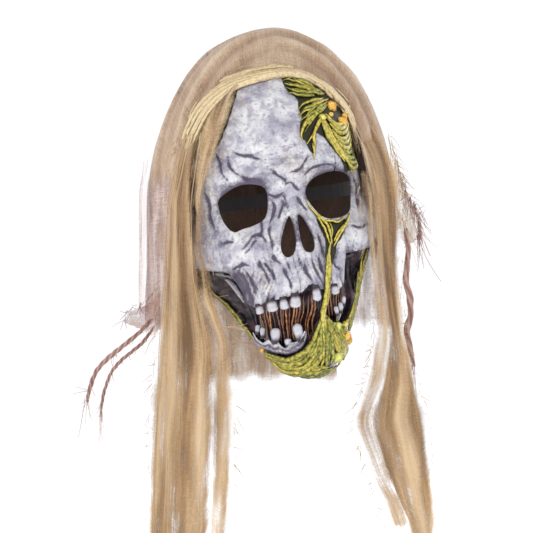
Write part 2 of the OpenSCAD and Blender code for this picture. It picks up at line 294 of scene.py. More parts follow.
def masses(u, v):
    total = sum(ridge(u, v, line, 8, 5.0) for line in BROWS)
    total += sum(ridge(u, v, line, 11, 5.5) for line in CHEEKS)
    total += bump_at(u, v, -37, 0, 25, 19, -8) + bump_at(u, v, 36, 1, 24, 19, -8)
    total += bump_at(u, v, -3, 20, 11, 10, 2.5) + bump_at(u, v, 1, 2, 7, 10, 5)
    total += bump_at(u, v, -68, 36, 12, 24, -5) + bump_at(u, v, 68, 36, 12, 24, -4)
    total += bump_at(u, v, -1, -26, 17, 18, 3) + bump_at(u, v, -4, -66, 34, 16, 2)
    total += bump_at(u, v, -47, -62, 8, 14, -6) + bump_at(u, v, -20, 62, 26, 22, 2)
    total += bump_at(u, v, 30, -66, 7, 12, 3) + bump_at(u, v, 22, -52, 4, 26, -3)
    for tooth_u, tooth_v, half, *_ in UPPER_TEETH:
        total += bump_at(u, v, tooth_u * .96, tooth_v + 17, half * .95, 13, 1.7)
    for hole in (RIGHT_NOSE, LEFT_NOSE):
        distance, _, _ = from_outline(u, v, rounded(hole))
        total += 2.2 * np.exp(-((distance - 2.5) / 3.5) ** 2)
    return total


def on_face(u, v, out=0.0, relief=True):
    u, v = np.broadcast_arrays(np.asarray(u, float), np.asarray(v, float))
    half = CHEEK_HALF_W * smooth_table(v, WIDTH_SHARE)
    side = np.clip(np.abs(u) / half, 0, .9995) ** (1 / .92)
    front = np.sqrt(1 - side ** 2)
    depth = MUZZLE_DEPTH * smooth_table(v, DEPTH_SHARE) * front ** .75
    height = out + (masses(u, v) if relief else 0)
    return np.stack([u + np.sign(u) * side ** 2 * height, -(depth + np.maximum(front, .25) * height), v], -1)


def head_to_frame(points):
    p = np.asarray(points, float) * MM
    c, s = math.cos(LEAN), math.sin(LEAN)
    return np.stack([p[..., 0] * c - p[..., 2] * s, p[..., 1], p[..., 0] * s + p[..., 2] * c], -1)


# Painted bone: pale lilac-white latex, fine dark speckle and a few cream tints. Every hollow is darkened to
# dark violet, partly by the latex's own dark wash and partly as painted shade; the darkening follows a value
# stored on the mesh, worked out from how deep each point lies below its neighbours.
def paint(piece, name, values):
    attribute = piece.data.attributes.new(name, "FLOAT", "POINT")
    attribute.data.foreach_set("value", np.asarray(values, np.float32).ravel())


def attribute(tree, name):
    return add(tree, "Attribute", {"attribute_name": name}).outputs["Fac"]


def mixed(tree, share, under, over, blend="MIX"):
    settings = {"data_type": "RGBA", "blend_type": blend}
    return add(tree, "Mix", settings, i0=share, i6=under, i7=over).outputs[2]


def speckled(tree, name, grains, amount):
    grains = sums(tree, "MULTIPLY", sums(tree, "SUBTRACT", grains, 0.5), amount)
    return sums(tree, "ADD", attribute(tree, name), grains)


bone_mat, tree, shader = new_material("painted_bone", Roughness=0.5, Specular_IOR_Level=0.4)
blotches = cloudy(tree, 45, 4)
grain = cloudy(tree, 520, 4)
tint = ramp(tree, blotches, (0.34, (0.43, 0.42, 0.49)), (0.50, (0.62, 0.62, 0.66)),
            (0.66, (0.77, 0.77, 0.77)))
cream = ramp(tree, cloudy(tree, 28, 2, distortion=0.6), (0.56, (0, 0, 0)), (0.74, (0.5, 0.5, 0.5)))
tint = mixed(tree, cream, tint, (0.72, 0.68, 0.54, 1))
mottle = ramp(tree, cloudy(tree, 130, 5, distortion=0.5), (0.42, (1, 1, 1)), (0.64, (0.60, 0.58, 0.66)))
tint = mixed(tree, 1.0, tint, mottle, "MULTIPLY")
# Hollows darken toward dark violet with the value stored on the mesh: partly the latex's dark wash, partly
# painted shade.
hollow = speckled(tree, "wash", grain, 1.3)
hollow_shade_share = ramp(tree, hollow, (0.20, (0, 0, 0)), (0.62, (0.50, 0.50, 0.50)), (1.0, (0.93, 0.93, 0.93)))
washed = mixed(tree, hollow_shade_share, tint, (0.060, 0.045, 0.085, 1))
specks = ramp(tree, cloudy(tree, 420, 4), (0.56, (0, 0, 0)), (0.72, (0.7, 0.7, 0.7)))
washed = mixed(tree, specks, washed, (0.16, 0.13, 0.20, 1))
rotten = ramp(tree, attribute(tree, "rot"), (0.35, (0, 0, 0)), (0.6, (1, 1, 1)))
washed = mixed(tree, rotten, washed, (0.022, 0.022, 0.008, 1))
coloured(tree, shader, washed)
bumped(tree, shader, sums(tree, "ADD", grain, sums(tree, "MULTIPLY", blotches, 0.8)), 0.35, 0.0008)

# Skull face: the bone-coloured latex, one dense sheet over the face's form, carved with the sculpture's
# creases. The eye and nose holes are cut through it, and every edge is turned back, so that the latex shows
# its thickness.
BONE_LOW = [(-80, -42), (-76, -43), (-67, -47), (-57, -49), (-53, -52), (-51, -60), (-47, -69), (-43, -77),
            (-38, -81), (-30, -77), (-20, -76), (-9, -74), (-2, -73), (4, -68), (8, -67), (12, -72),
            (18, -73), (22, -75), (28, -76), (35, -70), (37.5, -59), (40, -47), (57, -46), (80, -42)]
CREASES = [
    [(-41, 48), (-34, 42), (-26, 40), (-21, 37), (-15, 36)], [(-52, 49), (-50, 39), (-49, 30), (-44, 21)],
    [(-43, 45), (-43, 34), (-37, 26), (-32, 22), (-24, 21), (-18, 15)],
    [(-36, 29), (-31, 21), (-23, 19), (-18, 13)],
    [(-12, 27), (-8, 22), (-3, 18), (-1, 13)], [(-4, 13), (2, 15), (6, 10), (11, 7)],
    [(-16, 8), (-10, 5), (-4, 8)], [(-8, 4), (-5, -1), (-8, -7), (-12, -14)],
    [(-15, 4), (-12, -2), (-15, -10), (-19, -16)],
    [(21, 36), (16, 30), (10, 24), (2, 23)], [(11, 17), (20, 24), (32, 26), (44, 24)],
    [(58, 15), (62, 8), (63, -3), (60, -14)],
    [(-45, -35), (-39, -31), (-33, -24), (-28, -23), (-24, -28), (-24, -35)],
    [(-42, -38), (-37, -34), (-32, -28), (-28, -29)], [(-54, -50), (-50, -48), (-43, -45), (-36, -48)],
    [(-49, -50), (-45, -54), (-43, -61), (-41, -70), (-39, -78)],
    [(-43, -49), (-40, -56), (-38, -64), (-36, -73)],
    [(-32, -42), (-30, -48), (-27, -56), (-25, -65)], [(-29, -44), (-25, -50), (-22, -56), (-21, -64)],
    [(-20, -39), (-18, -45), (-14, -49)], [(-13, -50), (-12, -58), (-10, -64), (-10, -71)],
    [(4, -48), (4, -57), (7, -64), (9, -67)], [(10, -47), (11, -55), (13, -61), (16, -68)],
    [(15, -46), (17, -53), (18, -62)], [(-18, -15), (-20, -23), (-19, -31), (-20, -38)],
    [(18, -27), (20, -37), (21, -47)], [(-24, -7), (-26, -22), (-34, -24)], [(48, -24), (56, -28), (64, -26)],
    [(-64, 20), (-62, 8), (-63, -4), (-60, -16)], [(-40, -55), (-37, -62), (-33, -70)],
    [(-5, 8), (-3, 0), (-2, -8)],
    [(27, -50), (29, -56), (34, -60)], [(5, 5), (9, -2), (14, -10)], [(-60, -28), (-52, -26), (-46, -27)]]
ROT_PATCH = [(10, 103), (19, 101), (31, 100), (44, 93), (50, 84), (59, 72), (65, 57), (68, 42), (67, 28),
             (58, 22), (52, 17), (49, 21), (44, 34), (39, 44), (34, 50), (28, 52), (25, 46), (26, 38),
             (23, 34), (20, 46), (16, 49), (16, 57), (22, 66), (18, 72), (21, 81), (14, 87)]
ROT_RIGHT_TEMPLE = [(-20, 114), (-25, 95), (-32, 83), (-38, 71), (-43, 59), (-53, 48), (-60, 44), (-74, 44),
                    (-72, 80), (-46, 108)]
ROT_SOCKET = [(17, -9), (22, -19), (28, -20), (50, -19), (47, -23), (34, -38), (31, -48), (24, -58),
              (22, -56), (23, -44), (25, -34), (20, -20)]
COLUMNS = 290
ROWS = 300


def roughness_of(points, size, octaves, seed):
    shift = Vector((seed * 7.3, seed * 3.1, seed * 1.7))
    flat = points.reshape(-1, 3) / size
    values = [noise.fractal(Vector(p) + shift, 1.0, 2.0, octaves) for p in flat]
    return np.array(values).reshape(points.shape[:-1])


def rough(x, y, z, octaves, seed):
    return roughness_of(np.stack(np.broadcast_arrays(x, y, z), -1).astype(float), 1, octaves, seed)


def carved(u, v):
    depth = np.zeros(u.shape)
    for line in CREASES:
        distance, along, _, _ = from_line(u, v, curve(line, 12))
        taper = np.clip(np.sin(np.pi * np.clip(along, .04, .96)) * 1.6, .25, 1)
        q = distance / (1.5 * (.5 + .5 * taper) * (1 + .35 * np.sin(9 * along + line[0][0])))
        depth += -1.5 * taper * (1 - .9 * q ** 2) * np.exp(-q ** 2)
    down = ease(-30, -48, v) * ease(64, 46, np.abs(u))
    over_brow = ease(14, 26, v) * ease(60, 38, v)
    bent = u + 3 * np.sin(v / 9 + u / 14) + .12 * v * np.sign(u)
    lines = rough(bent / 4.6, 0, v / 42, 2, 5)
    frowns = rough(u / 26, 0, v / 9, 2, 9)
    depth -= 1.1 * down * np.exp(-(lines / .12) ** 2) + .5 * over_brow * np.exp(-(frowns / .07) ** 2)
    return np.clip(depth, -2.4, 1.0)


def blurred(field, times):
    for _ in range(times):
        padded = np.pad(field, 1, mode="edge")
        field = (padded[:-2, 1:-1] + padded[2:, 1:-1] + padded[1:-1, :-2] + padded[1:-1, 2:] + 2 * field) / 6
    return field


def sheet_faces(rows, columns):
    index = np.arange(rows * columns).reshape(rows, columns)
    return np.stack([index[:-1, :-1], index[:-1, 1:], index[1:, 1:], index[1:, :-1]], -1).reshape(-1, 4)


def face_grid(rows, columns, reach=86):
    t = np.linspace(-1, 1, columns)
    angle = np.radians(reach * (.72 * t + .28 * t ** 3))
    side = np.sign(angle) * np.abs(np.sin(angle)) ** .92
    u = side * CHEEK_HALF_W
    low = np.interp(u, *np.array(BONE_LOW, float).T)
    for _ in range(6):
        low = np.interp(side * CHEEK_HALF_W * smooth_table(low, WIDTH_SHARE), *np.array(BONE_LOW, float).T)
    high = 112 - 46 * ease(25, 85, np.degrees(np.abs(angle)))
    share = np.linspace(0, 1, rows)[:, None]
    v = low + (high - low) * share
    return side * CHEEK_HALF_W * smooth_table(v, WIDTH_SHARE), v


HOLES = [rounded(h) for h in (RIGHT_EYE, LEFT_EYE, RIGHT_NOSE, LEFT_NOSE)]


def cut_holes(u, v, cell):
    keep = np.ones(u.shape, bool)
    for hole in HOLES:
        distance, near_u, near_v = from_outline(u, v, hole)
        close = np.abs(distance) < cell * .55
        u, v = np.where(close, near_u, u), np.where(close, near_v, v)
        keep &= (distance > 0) | close
    return u, v, keep


def turned_edges(piece, thickness):
    bm = bmesh.new()
    bm.from_mesh(piece.data)
    border = [e for e in bm.edges if e.is_boundary]
    made = bmesh.ops.extrude_edge_only(bm, edges=border)["geom"]
    for vertex in (g for g in made if isinstance(g, bmesh.types.BMVert)):
        vertex.co.y += thickness * MM
    bmesh.ops.recalc_face_normals(bm, faces=bm.faces)
    for edge in border:
        edge.smooth = False
    bm.to_mesh(piece.data)
    bm.free()


u, v = face_grid(ROWS, COLUMNS)
u, v, keep = cut_holes(u, v, .7)
shape = carved(u, v)
flat_points = np.stack([u, np.zeros(u.shape), v], -1)
grainy = roughness_of(flat_points, 11, 4, 1)
form = masses(u, v)
height = shape + .55 * grainy
points = on_face(u, v, height)
wide = height + .35 * form
# Darkening in creases and hollows, small and broad: partly the latex's dark wash, partly painted shade.
wash = np.clip(-(height - blurred(height, 25)) * .8, 0, 1)
wash += np.clip(-(wide - blurred(wide, 260)) * .42, 0, .6)
# Painted shadow along the upper rims of the eye and nose holes.
for hole in HOLES:
    distance, _, _ = from_outline(u, v, hole)
    wash += .55 * np.exp(-np.maximum(distance, 0) / 1.6) * (v > np.mean(hole[:, 1]) - 4)
# Painted shadow under the brows, and painted shade down the sides, in the right cheek's hollow and along the
# lower edge.
brow_shadow = bump_at(u, v, -36, 17, 24, 6, .5) + bump_at(u, v, 36, 19, 24, 6, .45)
side_shade = .55 * ease(58, 74, np.abs(u)) + .35 * ease(-47, -56, v) * ease(34, 46, -u)
low_edge_shade = .5 * np.exp(-np.linspace(0, 1, ROWS)[:, None] * 90) * np.ones(u.shape)
wash = wash * .50 + .80 * blurred(wash, 8) + .45 * blurred(wash, 40)
wash = np.clip(wash + brow_shadow + side_shade + low_edge_shade + .16 * (grainy + .2), 0, 1.3)
rot = np.zeros(u.shape)
for patch in (ROT_PATCH, ROT_RIGHT_TEMPLE, ROT_SOCKET):
    rot_distance, _, _ = from_outline(u, v, rounded(patch))
    rot = np.maximum(rot, np.clip(.5 - rot_distance / 3 + .4 * grainy, 0, 1))
faces = sheet_faces(ROWS, COLUMNS)
faces = faces[keep.ravel()[faces].all(1)]
skull = mesh_from("skull_face", head_to_frame(points).reshape(-1, 3), faces)
paint(skull, "wash", wash)
paint(skull, "rot", rot)
bm = bmesh.new()
bm.from_mesh(skull.data)
bmesh.ops.delete(bm, geom=[x for x in bm.verts if not x.link_faces], context="VERTS")
bm.to_mesh(skull.data)
bm.free()
turned_edges(skull, 3.0)
skull.data.materials.append(bone_mat)
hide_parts("skull_shell")
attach(skull, "mask")

# Ribbons and ropes: the two ways the soft sculpture is built. A ribbon is a sheet between two curves on the
# face; a rope is a tapering strand that lies along a curve, and a sheaf is a set of ropes between two
# curves.
def ribbon(edge_a, edge_b, along, across, out):
    a, b = curve(edge_a, along), curve(edge_b, along)
    s = np.linspace(0, 1, across)[None, :, None]
    uv = a[:, None, :] * (1 - s) + b[:, None, :] * s
    t = np.linspace(0, 1, along)[:, None] * np.ones((1, across))
    return uv[..., 0], uv[..., 1], out(t, s[..., 0] * np.ones((along, 1)))


def band_faces(index):
    after = np.roll(index, -1, axis=1)
    return np.stack([index[:-1], after[:-1], after[1:], index[1:]], -1).reshape(-1, 4).tolist()


def tube(path, facing, radius, first=0):
    tangent = np.gradient(path, axis=0)
    tangent /= np.linalg.norm(tangent, axis=1)[:, None] + 1e-9
    side = np.cross(tangent, facing)
    side /= np.linalg.norm(side, axis=1)[:, None] + 1e-9
    up = np.cross(side, tangent)
    angle = 2 * np.pi * np.arange(radius.shape[1]) / radius.shape[1]
    ring = side[:, None] * np.cos(angle)[None, :, None] + up[:, None] * np.sin(angle)[None, :, None]
    index = first + np.arange(radius.size).reshape(radius.shape)
    faces = band_faces(index) + [index[0][::-1].tolist(), index[-1].tolist()]
    return (path[:, None] + ring * radius[..., None]).reshape(-1, 3), faces


def rope(points, start, end, lift, sides=8, step=1.6, seed=0):
    guide = np.array([p + (0,) if len(p) == 2 else p for p in map(tuple, points)], float)
    length = np.linalg.norm(np.diff(guide[:, :2], axis=0), axis=1).sum()
    count = max(8, int(length / step))
    path = curve(guide, count)
    path[:, :2] += .5 * roughness_of(path * [1, 1, 0] + seed * 3.7, 5, 2, seed)[:, None]
    centre = on_face(path[:, 0], path[:, 1], path[:, 2] + lift)
    t = np.linspace(0, 1, count)
    radius = (start + (end - start) * t) * np.clip(np.sin(np.pi * np.clip(t, .03, .97)) ** .5, .25, 1)
    radius *= 1 + .28 * roughness_of(path * [1, 1, 0], 3.0, 2, seed + 11)
    outward = np.stack([centre[:, 0] / 90, -np.ones(count), np.zeros(count)], -1)
    verts, faces = tube(centre, outward, radius[:, None] * np.ones(sides))
    # The last value is painted light for the colour: 1 along the strand's outward top, -1 along its
    # underside.
    return verts, faces, np.tile(np.sin(2 * np.pi * np.arange(sides) / sides), count)


def sheaf(first, last, number, start, end, lift, wander=.8):
    a, b = curve(first, 9), curve(last, 9)
    strands = []
    for k in range(number):
        s = (k + .5) / number + rng.uniform(-.3, .3) / number
        path = a * (1 - s) + b * s + rng.normal(0, wander * .4, a.shape)
        size = rng.uniform(.75, 1.3)
        lo, hi = rng.choice([0, 0, 0, 1, 2]), rng.choice([9, 9, 9, 8, 7])
        strands.append((path[lo:hi], start * size, end * size, lift + rng.uniform(-.4, .5)))
    return strands


# brightness scales the painted light along the tops of the strands.
def strand_piece(name, strands, material, tones=(0, 1), sides=8, brightness=1.0):
    verts, faces, lit_crest, tone = [], [], [], []
    for k, (points, start, end, lift) in enumerate(strands):
        p, f, c = rope(points, start, end, lift, sides, seed=k)
        faces += [[i + len(lit_crest) for i in face] for face in f]
        verts.append(p)
        lit_crest += (brightness * c).tolist()
        tone += [rng.uniform(*tones)] * len(p)
    piece = mesh_from(name, head_to_frame(np.vstack(verts)), faces)
    paint(piece, "lit_crest", lit_crest)
    paint(piece, "tone", tone)
    piece.data.materials.append(material)
    return piece


def grid_piece(name, u, v, out, material, relief=True, thickness=1.5, **painted):
    piece = mesh_from(name, head_to_frame(on_face(u, v, out, relief)).reshape(-1, 3), sheet_faces(*u.shape))
    for key, values in painted.items():
        paint(piece, key, values)
    turned_edges(piece, thickness)
    piece.data.materials.append(material)
    return piece


def hinged(piece):
    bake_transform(piece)


# Rotten flesh: raised strands of the same latex, painted acid yellow and olive, strand by strand. Each strand
# is lightest along its top as painted highlight and goes dark to black on its underside as painted shade. It
# is varnished, so that it shines wet.
flesh_mat, tree, shader = new_material("rotten_flesh", Roughness=0.36, Specular_IOR_Level=0.5)
fleck = cloudy(tree, 420, 4)
lit_crest = speckled(tree, "lit_crest", fleck, 1.1)
flank = ramp(tree, lit_crest, (0.25, (0.005, 0.005, 0.002)), (0.55, (0.060, 0.062, 0.008)),
             (0.82, (0.24, 0.25, 0.022)), (1.0, (0.47, 0.46, 0.085)))
golden = ramp(tree, lit_crest, (0.20, (0.006, 0.005, 0.002)), (0.50, (0.13, 0.095, 0.010)),
              (0.78, (0.50, 0.39, 0.028)), (1.0, (0.72, 0.60, 0.15)))
tone = ramp(tree, attribute(tree, "tone"), (0.25, (0, 0, 0)), (0.75, (1, 1, 1)))
colour = mixed(tree, tone, flank, golden)
coloured(tree, shader, colour)
bumped(tree, shader, fleck, 0.5, 0.0006)

# Boils: orange and yellow blisters cast in the flesh, lighter on top as painted highlight and darker round
# their feet as painted shade. Each is a lumpy dome sunk a little into the face, with a glossy coat.
boil_mat, tree, shader = new_material("boils", Roughness=0.22, Specular_IOR_Level=0.65)
height_up = attribute(tree, "lit_crest")
orange = ramp(tree, sums(tree, "ADD", height_up, sums(tree, "MULTIPLY", cloudy(tree, 300, 3), 0.4)),
              (0.15, (0.03, 0.012, 0.004)), (0.55, (0.50, 0.19, 0.012)), (0.95, (0.86, 0.50, 0.07)))
yellow = ramp(tree, height_up, (0.1, (0.03, 0.03, 0.005)), (0.55, (0.42, 0.40, 0.03)),
              (0.95, (0.72, 0.76, 0.18)))
colour = mixed(tree, attribute(tree, "tone"), orange, yellow)
coloured(tree, shader, colour)
bumped(tree, shader, cloudy(tree, 500, 3), 0.3, 0.0005)


def boils_piece(name, boils):
    verts, faces, lit_crest, tone = [], [], [], []
    rows, columns = 12, 18
    tilt = np.linspace(0, .62 * np.pi, rows)[:, None]
    turn = 2 * np.pi * np.arange(columns)[None, :] / columns
    ball = np.stack(np.broadcast_arrays(np.sin(tilt) * np.cos(turn), np.sin(tilt) * np.sin(turn),
                                        np.cos(tilt)), -1)
    for u, v, radius, lift, is_yellow in boils:
        lump = 1 + .26 * roughness_of(ball + u, .5, 2, 3)
        across, rise = radius * np.sin(tilt) * lump, radius * np.cos(tilt) * lump
        centre = on_face(u, v, lift)
        local = np.stack([across * np.cos(turn), -rise, across * np.sin(turn)], -1) + centre
        verts.append(local.reshape(-1, 3))
        index = len(lit_crest) + np.arange(rows * columns).reshape(rows, columns)
        faces += band_faces(index[1:])
        faces += [index[1][::-1].tolist()]
        # Painted light for the colour: 1 at the top of each dome, 0 at its foot.
        lit_crest += np.repeat(np.clip(np.cos(tilt[:, 0]), 0, 1), columns).tolist()
        tone += [float(is_yellow)] * (rows * columns)
    piece = mesh_from(name, head_to_frame(np.vstack(verts)), faces)
    paint(piece, "lit_crest", lit_crest)
    paint(piece, "tone", tone)
    piece.data.materials.append(boil_mat)
    return piece


# Left temple: sheaves of flesh strands that radiate and sweep down, some single strands at their ends, and
# ten that hang in swags to the eye's corner. They are cast on the bone inside the dark rotten patch.
temple = sheaf([(45, 88), (35, 93), (25, 100), (13, 104)],
               [(44, 83), (33, 83), (23, 84), (12, 87)], 7, 2.3, .8, 1.4, 1.5)
temple += sheaf([(46, 82), (36, 80), (27, 79), (18, 75)],
                [(44, 74), (36, 68), (29, 61), (22, 54), (17, 46)], 8, 2.3, .9, 1.4, 1.6)
temple += [([(38, 66), (31, 58), (27, 50), (26, 42), (24, 33)], 2.0, 1.2, 1.4),
           ([(36, 62), (29, 54), (23, 47), (20, 44)], 1.7, .9, 1.2),
           ([(26, 66), (21, 60), (17, 53), (17, 47)], 1.7, 1, 1.2),
           ([(25, 44), (25, 38), (23, 31)], 1.3, .8, .9)]
temple += sheaf([(35, 62), (38, 50), (42, 38), (47, 28), (54, 15)],
                [(40, 62), (43, 50), (47, 39), (51, 29), (57, 16)], 4, 2.1, 1.5, 1.5)
for k in range(10):
    t = (k + rng.uniform(-.2, .2)) / 9
    left, right = np.array([41 + 9 * t, 67 - 40 * t]), np.array([64.5, 70 - 41 * t])
    sag = [0, 10 - 4 * t]
    swag = [left, left * .7 + right * .3 - sag, left * .35 + right * .65 - sag, right]
    temple.append((swag, rng.uniform(2.3, 3.1), rng.uniform(1.9, 2.5), 1.0 + rng.uniform(-.3, .6)))
left_temple = strand_piece("left_temple_strands", temple, flesh_mat, (0.05, 0.8), brightness=0.95)
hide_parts("left_temple_flesh")
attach(left_temple, "mask")

boils = boils_piece("temple_blisters",
                    [(49, 73, 4.9, -.6, 0), (56.5, 59, 5.0, -.6, 0), (38, 64, 3.4, -.4, .75),
                     (60, 64, 3.0, .6, 0), (46, 66, 2.2, 1, .2)])
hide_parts("temple_boils")
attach(boils, "mask")

# Right temple: a smaller patch of the same flesh, cast on the bone. The gauze half covers it.
# It is one sheaf of nine strands.
patch = sheaf([(-33, 90), (-42, 78), (-49, 64), (-54, 50)], [(-48, 86), (-56, 74), (-60, 62), (-63, 50)], 9,
              1.8, 1.3, 1.0)
right_temple = strand_piece("right_temple_strands", patch, flesh_mat, (0.1, 0.6))
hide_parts("right_temple_flesh")
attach(right_temple, "mask")

# Left eye: a torn triangle of flesh strands across the lower rim of the socket.
# They start from both corners of the eye hole and meet under it.
web = [([(14, 0, 0), (16, -6, 1), (20, -12, 1), (25, -18, 1), (28, -24, 1), (29, -38, 1)], 1.2, 1.8, .8),
       ([(51, -15, 0), (46, -21, 1), (40, -27, 1), (35, -33, 1), (30, -40, 1)], 1.7, 1.4, .8),
       ([(47, -20, 0), (41, -25, 1), (35, -30, 1), (31, -36, 1)], 1.2, 1.2, .5),
       ([(25, -18, 1), (32, -20, 1), (38, -21, 1), (46, -17, 1)], 1.3, 1.0, .8),
       ([(19, -10, 1), (22, -17, 1), (25, -26, 1), (27, -38, 1)], 1.0, 1.3, .5),
       ([(30, -20, 1), (31, -27, 1), (29, -34, 1)], .9, .9, .4)]
socket_web = strand_piece("socket_web_strands", web, flesh_mat, (0.4, 1))
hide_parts("socket_web")
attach(socket_web, "mask")

# Mouth lining: dark wet latex skin sunk behind the jaws, folded lengthwise.
# Its dark purple is lighter on the raised folds and darker between them, as painted highlight and shade.
gore_mat, tree, shader = new_material("dark_mouth", Roughness=0.3, Specular_IOR_Level=0.6)
stains = sums(tree, "MULTIPLY", cloudy(tree, 260, 4), 0.7)
gore = ramp(tree, sums(tree, "ADD", attribute(tree, "wash"), stains),
            (0.30, (0.004, 0.003, 0.005)), (0.62, (0.016, 0.008, 0.015)), (0.95, (0.085, 0.042, 0.062)))
coloured(tree, shader, gore)
bumped(tree, shader, cloudy(tree, 240, 4), 0.6, 0.0012)
u, v, out = ribbon([(-66, -50), (-45, -56), (-20, -60), (5, -58), (25, -56), (40, -50), (54, -48)],
                   [(-58, -84), (-46, -108), (-26, -122), (-6, -124), (14, -118), (34, -112), (50, -84)],
                   150, 60, lambda t, s: -15 + 9 * ease(.25, 0, s) - 3 * np.sin(np.pi * t))
folds = rough(u / 3.2, 0, v / 16, 3, 21)
lining = grid_piece("mouth_lining", u, v, out + 1.6 * folds, gore_mat, False, 2.0, wash=.35 + .5 * folds)
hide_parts("mouth_skin")
hinged(lining)

# Sinews: brown and rust latex cords stretched between the gums, glossy like the lining behind them. Each is
# lighter along its top as painted highlight and dark beneath as painted shade.
# Seventeen cross the mouth and six more fill the gap left of the strand.
sinew_mat, tree, shader = new_material("sinews", Roughness=0.25, Specular_IOR_Level=0.6)
lit_crest = speckled(tree, "lit_crest", cloudy(tree, 380, 4), 1.0)
dull = ramp(tree, lit_crest, (0.3, (0.010, 0.004, 0.006)), (0.75, (0.060, 0.018, 0.014)),
            (1.0, (0.20, 0.075, 0.05)))
rusty = ramp(tree, lit_crest, (0.25, (0.015, 0.005, 0.004)), (0.7, (0.24, 0.070, 0.016)),
             (1.0, (0.62, 0.29, 0.10)))
colour = mixed(tree, attribute(tree, "tone"), dull, rusty)
coloured(tree, shader, colour)
cords = []
for k in range(17):
    top = -37 + 46 * (k + rng.uniform(-.4, .4)) / 16
    low = top * .86 - 3 + rng.uniform(-1, 1)
    cords.append(([(top, -76, -5), (top - .5, -88, -9), (low, -99, -9), (low, -112, -6)],
                  rng.uniform(.6, 1.7), rng.uniform(.4, 1.3), -1.5 + rng.uniform(-1.5, 1)))
for k in range(6):
    top = 21 + 2.8 * k
    cords.append(([(top, -74, -5), (top + .5, -84, -9), (top + 1, -96, -6)], 1.0, .8, -1.5))
sinews = strand_piece("sinew_strands", cords, sinew_mat, (0, 1), sides=6)
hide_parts("mouth_sinews")
hinged(sinews)

# Lower jaw: the black latex of the sunken cheeks and chin, in one piece from cheek to cheek.
JAW_OUTER = [(-76, -49), (-69, -62), (-59, -76), (-51, -91), (-44, -103), (-35, -117), (-25, -130),
             (-12, -140), (1, -143), (15, -140), (25, -137), (34, -130), (38, -120), (40, -109), (46, -92),
             (53, -74), (65, -47)]
JAW_INNER = [(-71, -43), (-58, -48), (-48, -58), (-43, -77), (-40, -92), (-38, -104), (-31, -114),
             (-17, -120), (-7, -119), (0, -112), (7, -103), (13, -96), (20, -99), (28, -104), (37, -98),
             (44, -82), (46, -45)]


def jaw_out(t, s):
    sunk = ease(.38, .2, t) + ease(.82, .95, t) * .8
    lip = 3.5 * np.exp(-(s / .10) ** 2)
    swell = 5.5 * np.sin(np.pi * np.clip(s, 0, 1)) * (1 - sunk)
    return -6 + swell - 6 * sunk * ease(.1, .5, s) + lip * sunk - 4 * ease(.75, 1, s)


u, v, out = ribbon(JAW_OUTER, JAW_INNER, 240, 40, jaw_out)
folds = rough(u / 7, 0, v / 7, 4, 33)
# The jaw's black is lighter where its folds stand out and darker between them, as painted highlight and
# shade.
jaw = grid_piece("jaw_skin", u, v, out + folds, gore_mat, False, 3.0, wash=.22 + .45 * folds)
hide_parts("jaw_shell")
hinged(jaw)

# Cheek bone: a sliver of painted bone that shows in the hollow of the right cheek.
# It is darkened along both edges as painted shade.
u, v, out = ribbon([(-62, -56), (-58, -62), (-54, -69), (-49, -76)],
                   [(-58, -56), (-54, -61), (-51, -68), (-48, -76)], 30, 9,
                   lambda t, s: -9 + 2.5 * np.sin(np.pi * s))
rim_shade = .45 + .5 * np.abs(2 * np.linspace(0, 1, 9) - 1) ** 3 * np.ones(u.shape)
ramus = grid_piece("ramus_bone", u, v, out, bone_mat, False, 2.0, wash=rim_shade, rot=np.zeros(u.shape))
hinged(ramus)

# Lower gum: a scalloped edge of white bone round the sockets of the lower teeth, above a violet band.
# It is painted like the face, darker in the groove below the edge and at its foot as painted shade.
u, v, out = ribbon([(-40, -101), (-38, -106), (-34, -110), (-30, -108), (-27, -112), (-24, -110),
                    (-21, -114), (-18, -116), (-14, -112), (-10, -112), (-6, -109), (-2, -104)],
                   [(-41, -106), (-39, -111), (-35, -115), (-31, -117), (-27, -119), (-23, -120),
                    (-19, -121), (-15, -121), (-11, -120), (-7, -118), (-3, -114), (0, -107)], 120, 14,
                   lambda t, s: -1.5 + 2.2 * np.exp(-((s - .12) / .14) ** 2) + 1.0
                   * np.exp(-((s - .75) / .2) ** 2))
level = np.linspace(0, 1, 14) * np.ones(u.shape)
gum_wash = .1 + .9 * ease(.25, .5, level) - .45 * np.exp(-((level - .75) / .15) ** 2)
gum = grid_piece("gum_edge", u, v, out, bone_mat, False, 4.0, wash=gum_wash, rot=np.zeros(u.shape))
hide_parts("gum_ridge")
hinged(gum)

# Teeth: worn ivory pegs with grey roots, each with its own size and lean, darker on both flanks as painted
# shade between the teeth. The upper ones stay with the face.
tooth_mat, tree, shader = new_material("old_teeth", Roughness=0.3, Specular_IOR_Level=0.55,
                                       Subsurface_Weight=0.1)
stains = sums(tree, "MULTIPLY", cloudy(tree, 300, 4), 0.35)
ivory = ramp(tree, sums(tree, "ADD", attribute(tree, "wash"), stains),
             (0.2, (0.66, 0.65, 0.68)), (0.55, (0.36, 0.34, 0.40)), (0.95, (0.030, 0.020, 0.028)))
coloured(tree, shader, ivory)
bumped(tree, shader, cloudy(tree, 450, 4), 0.35, 0.0006)


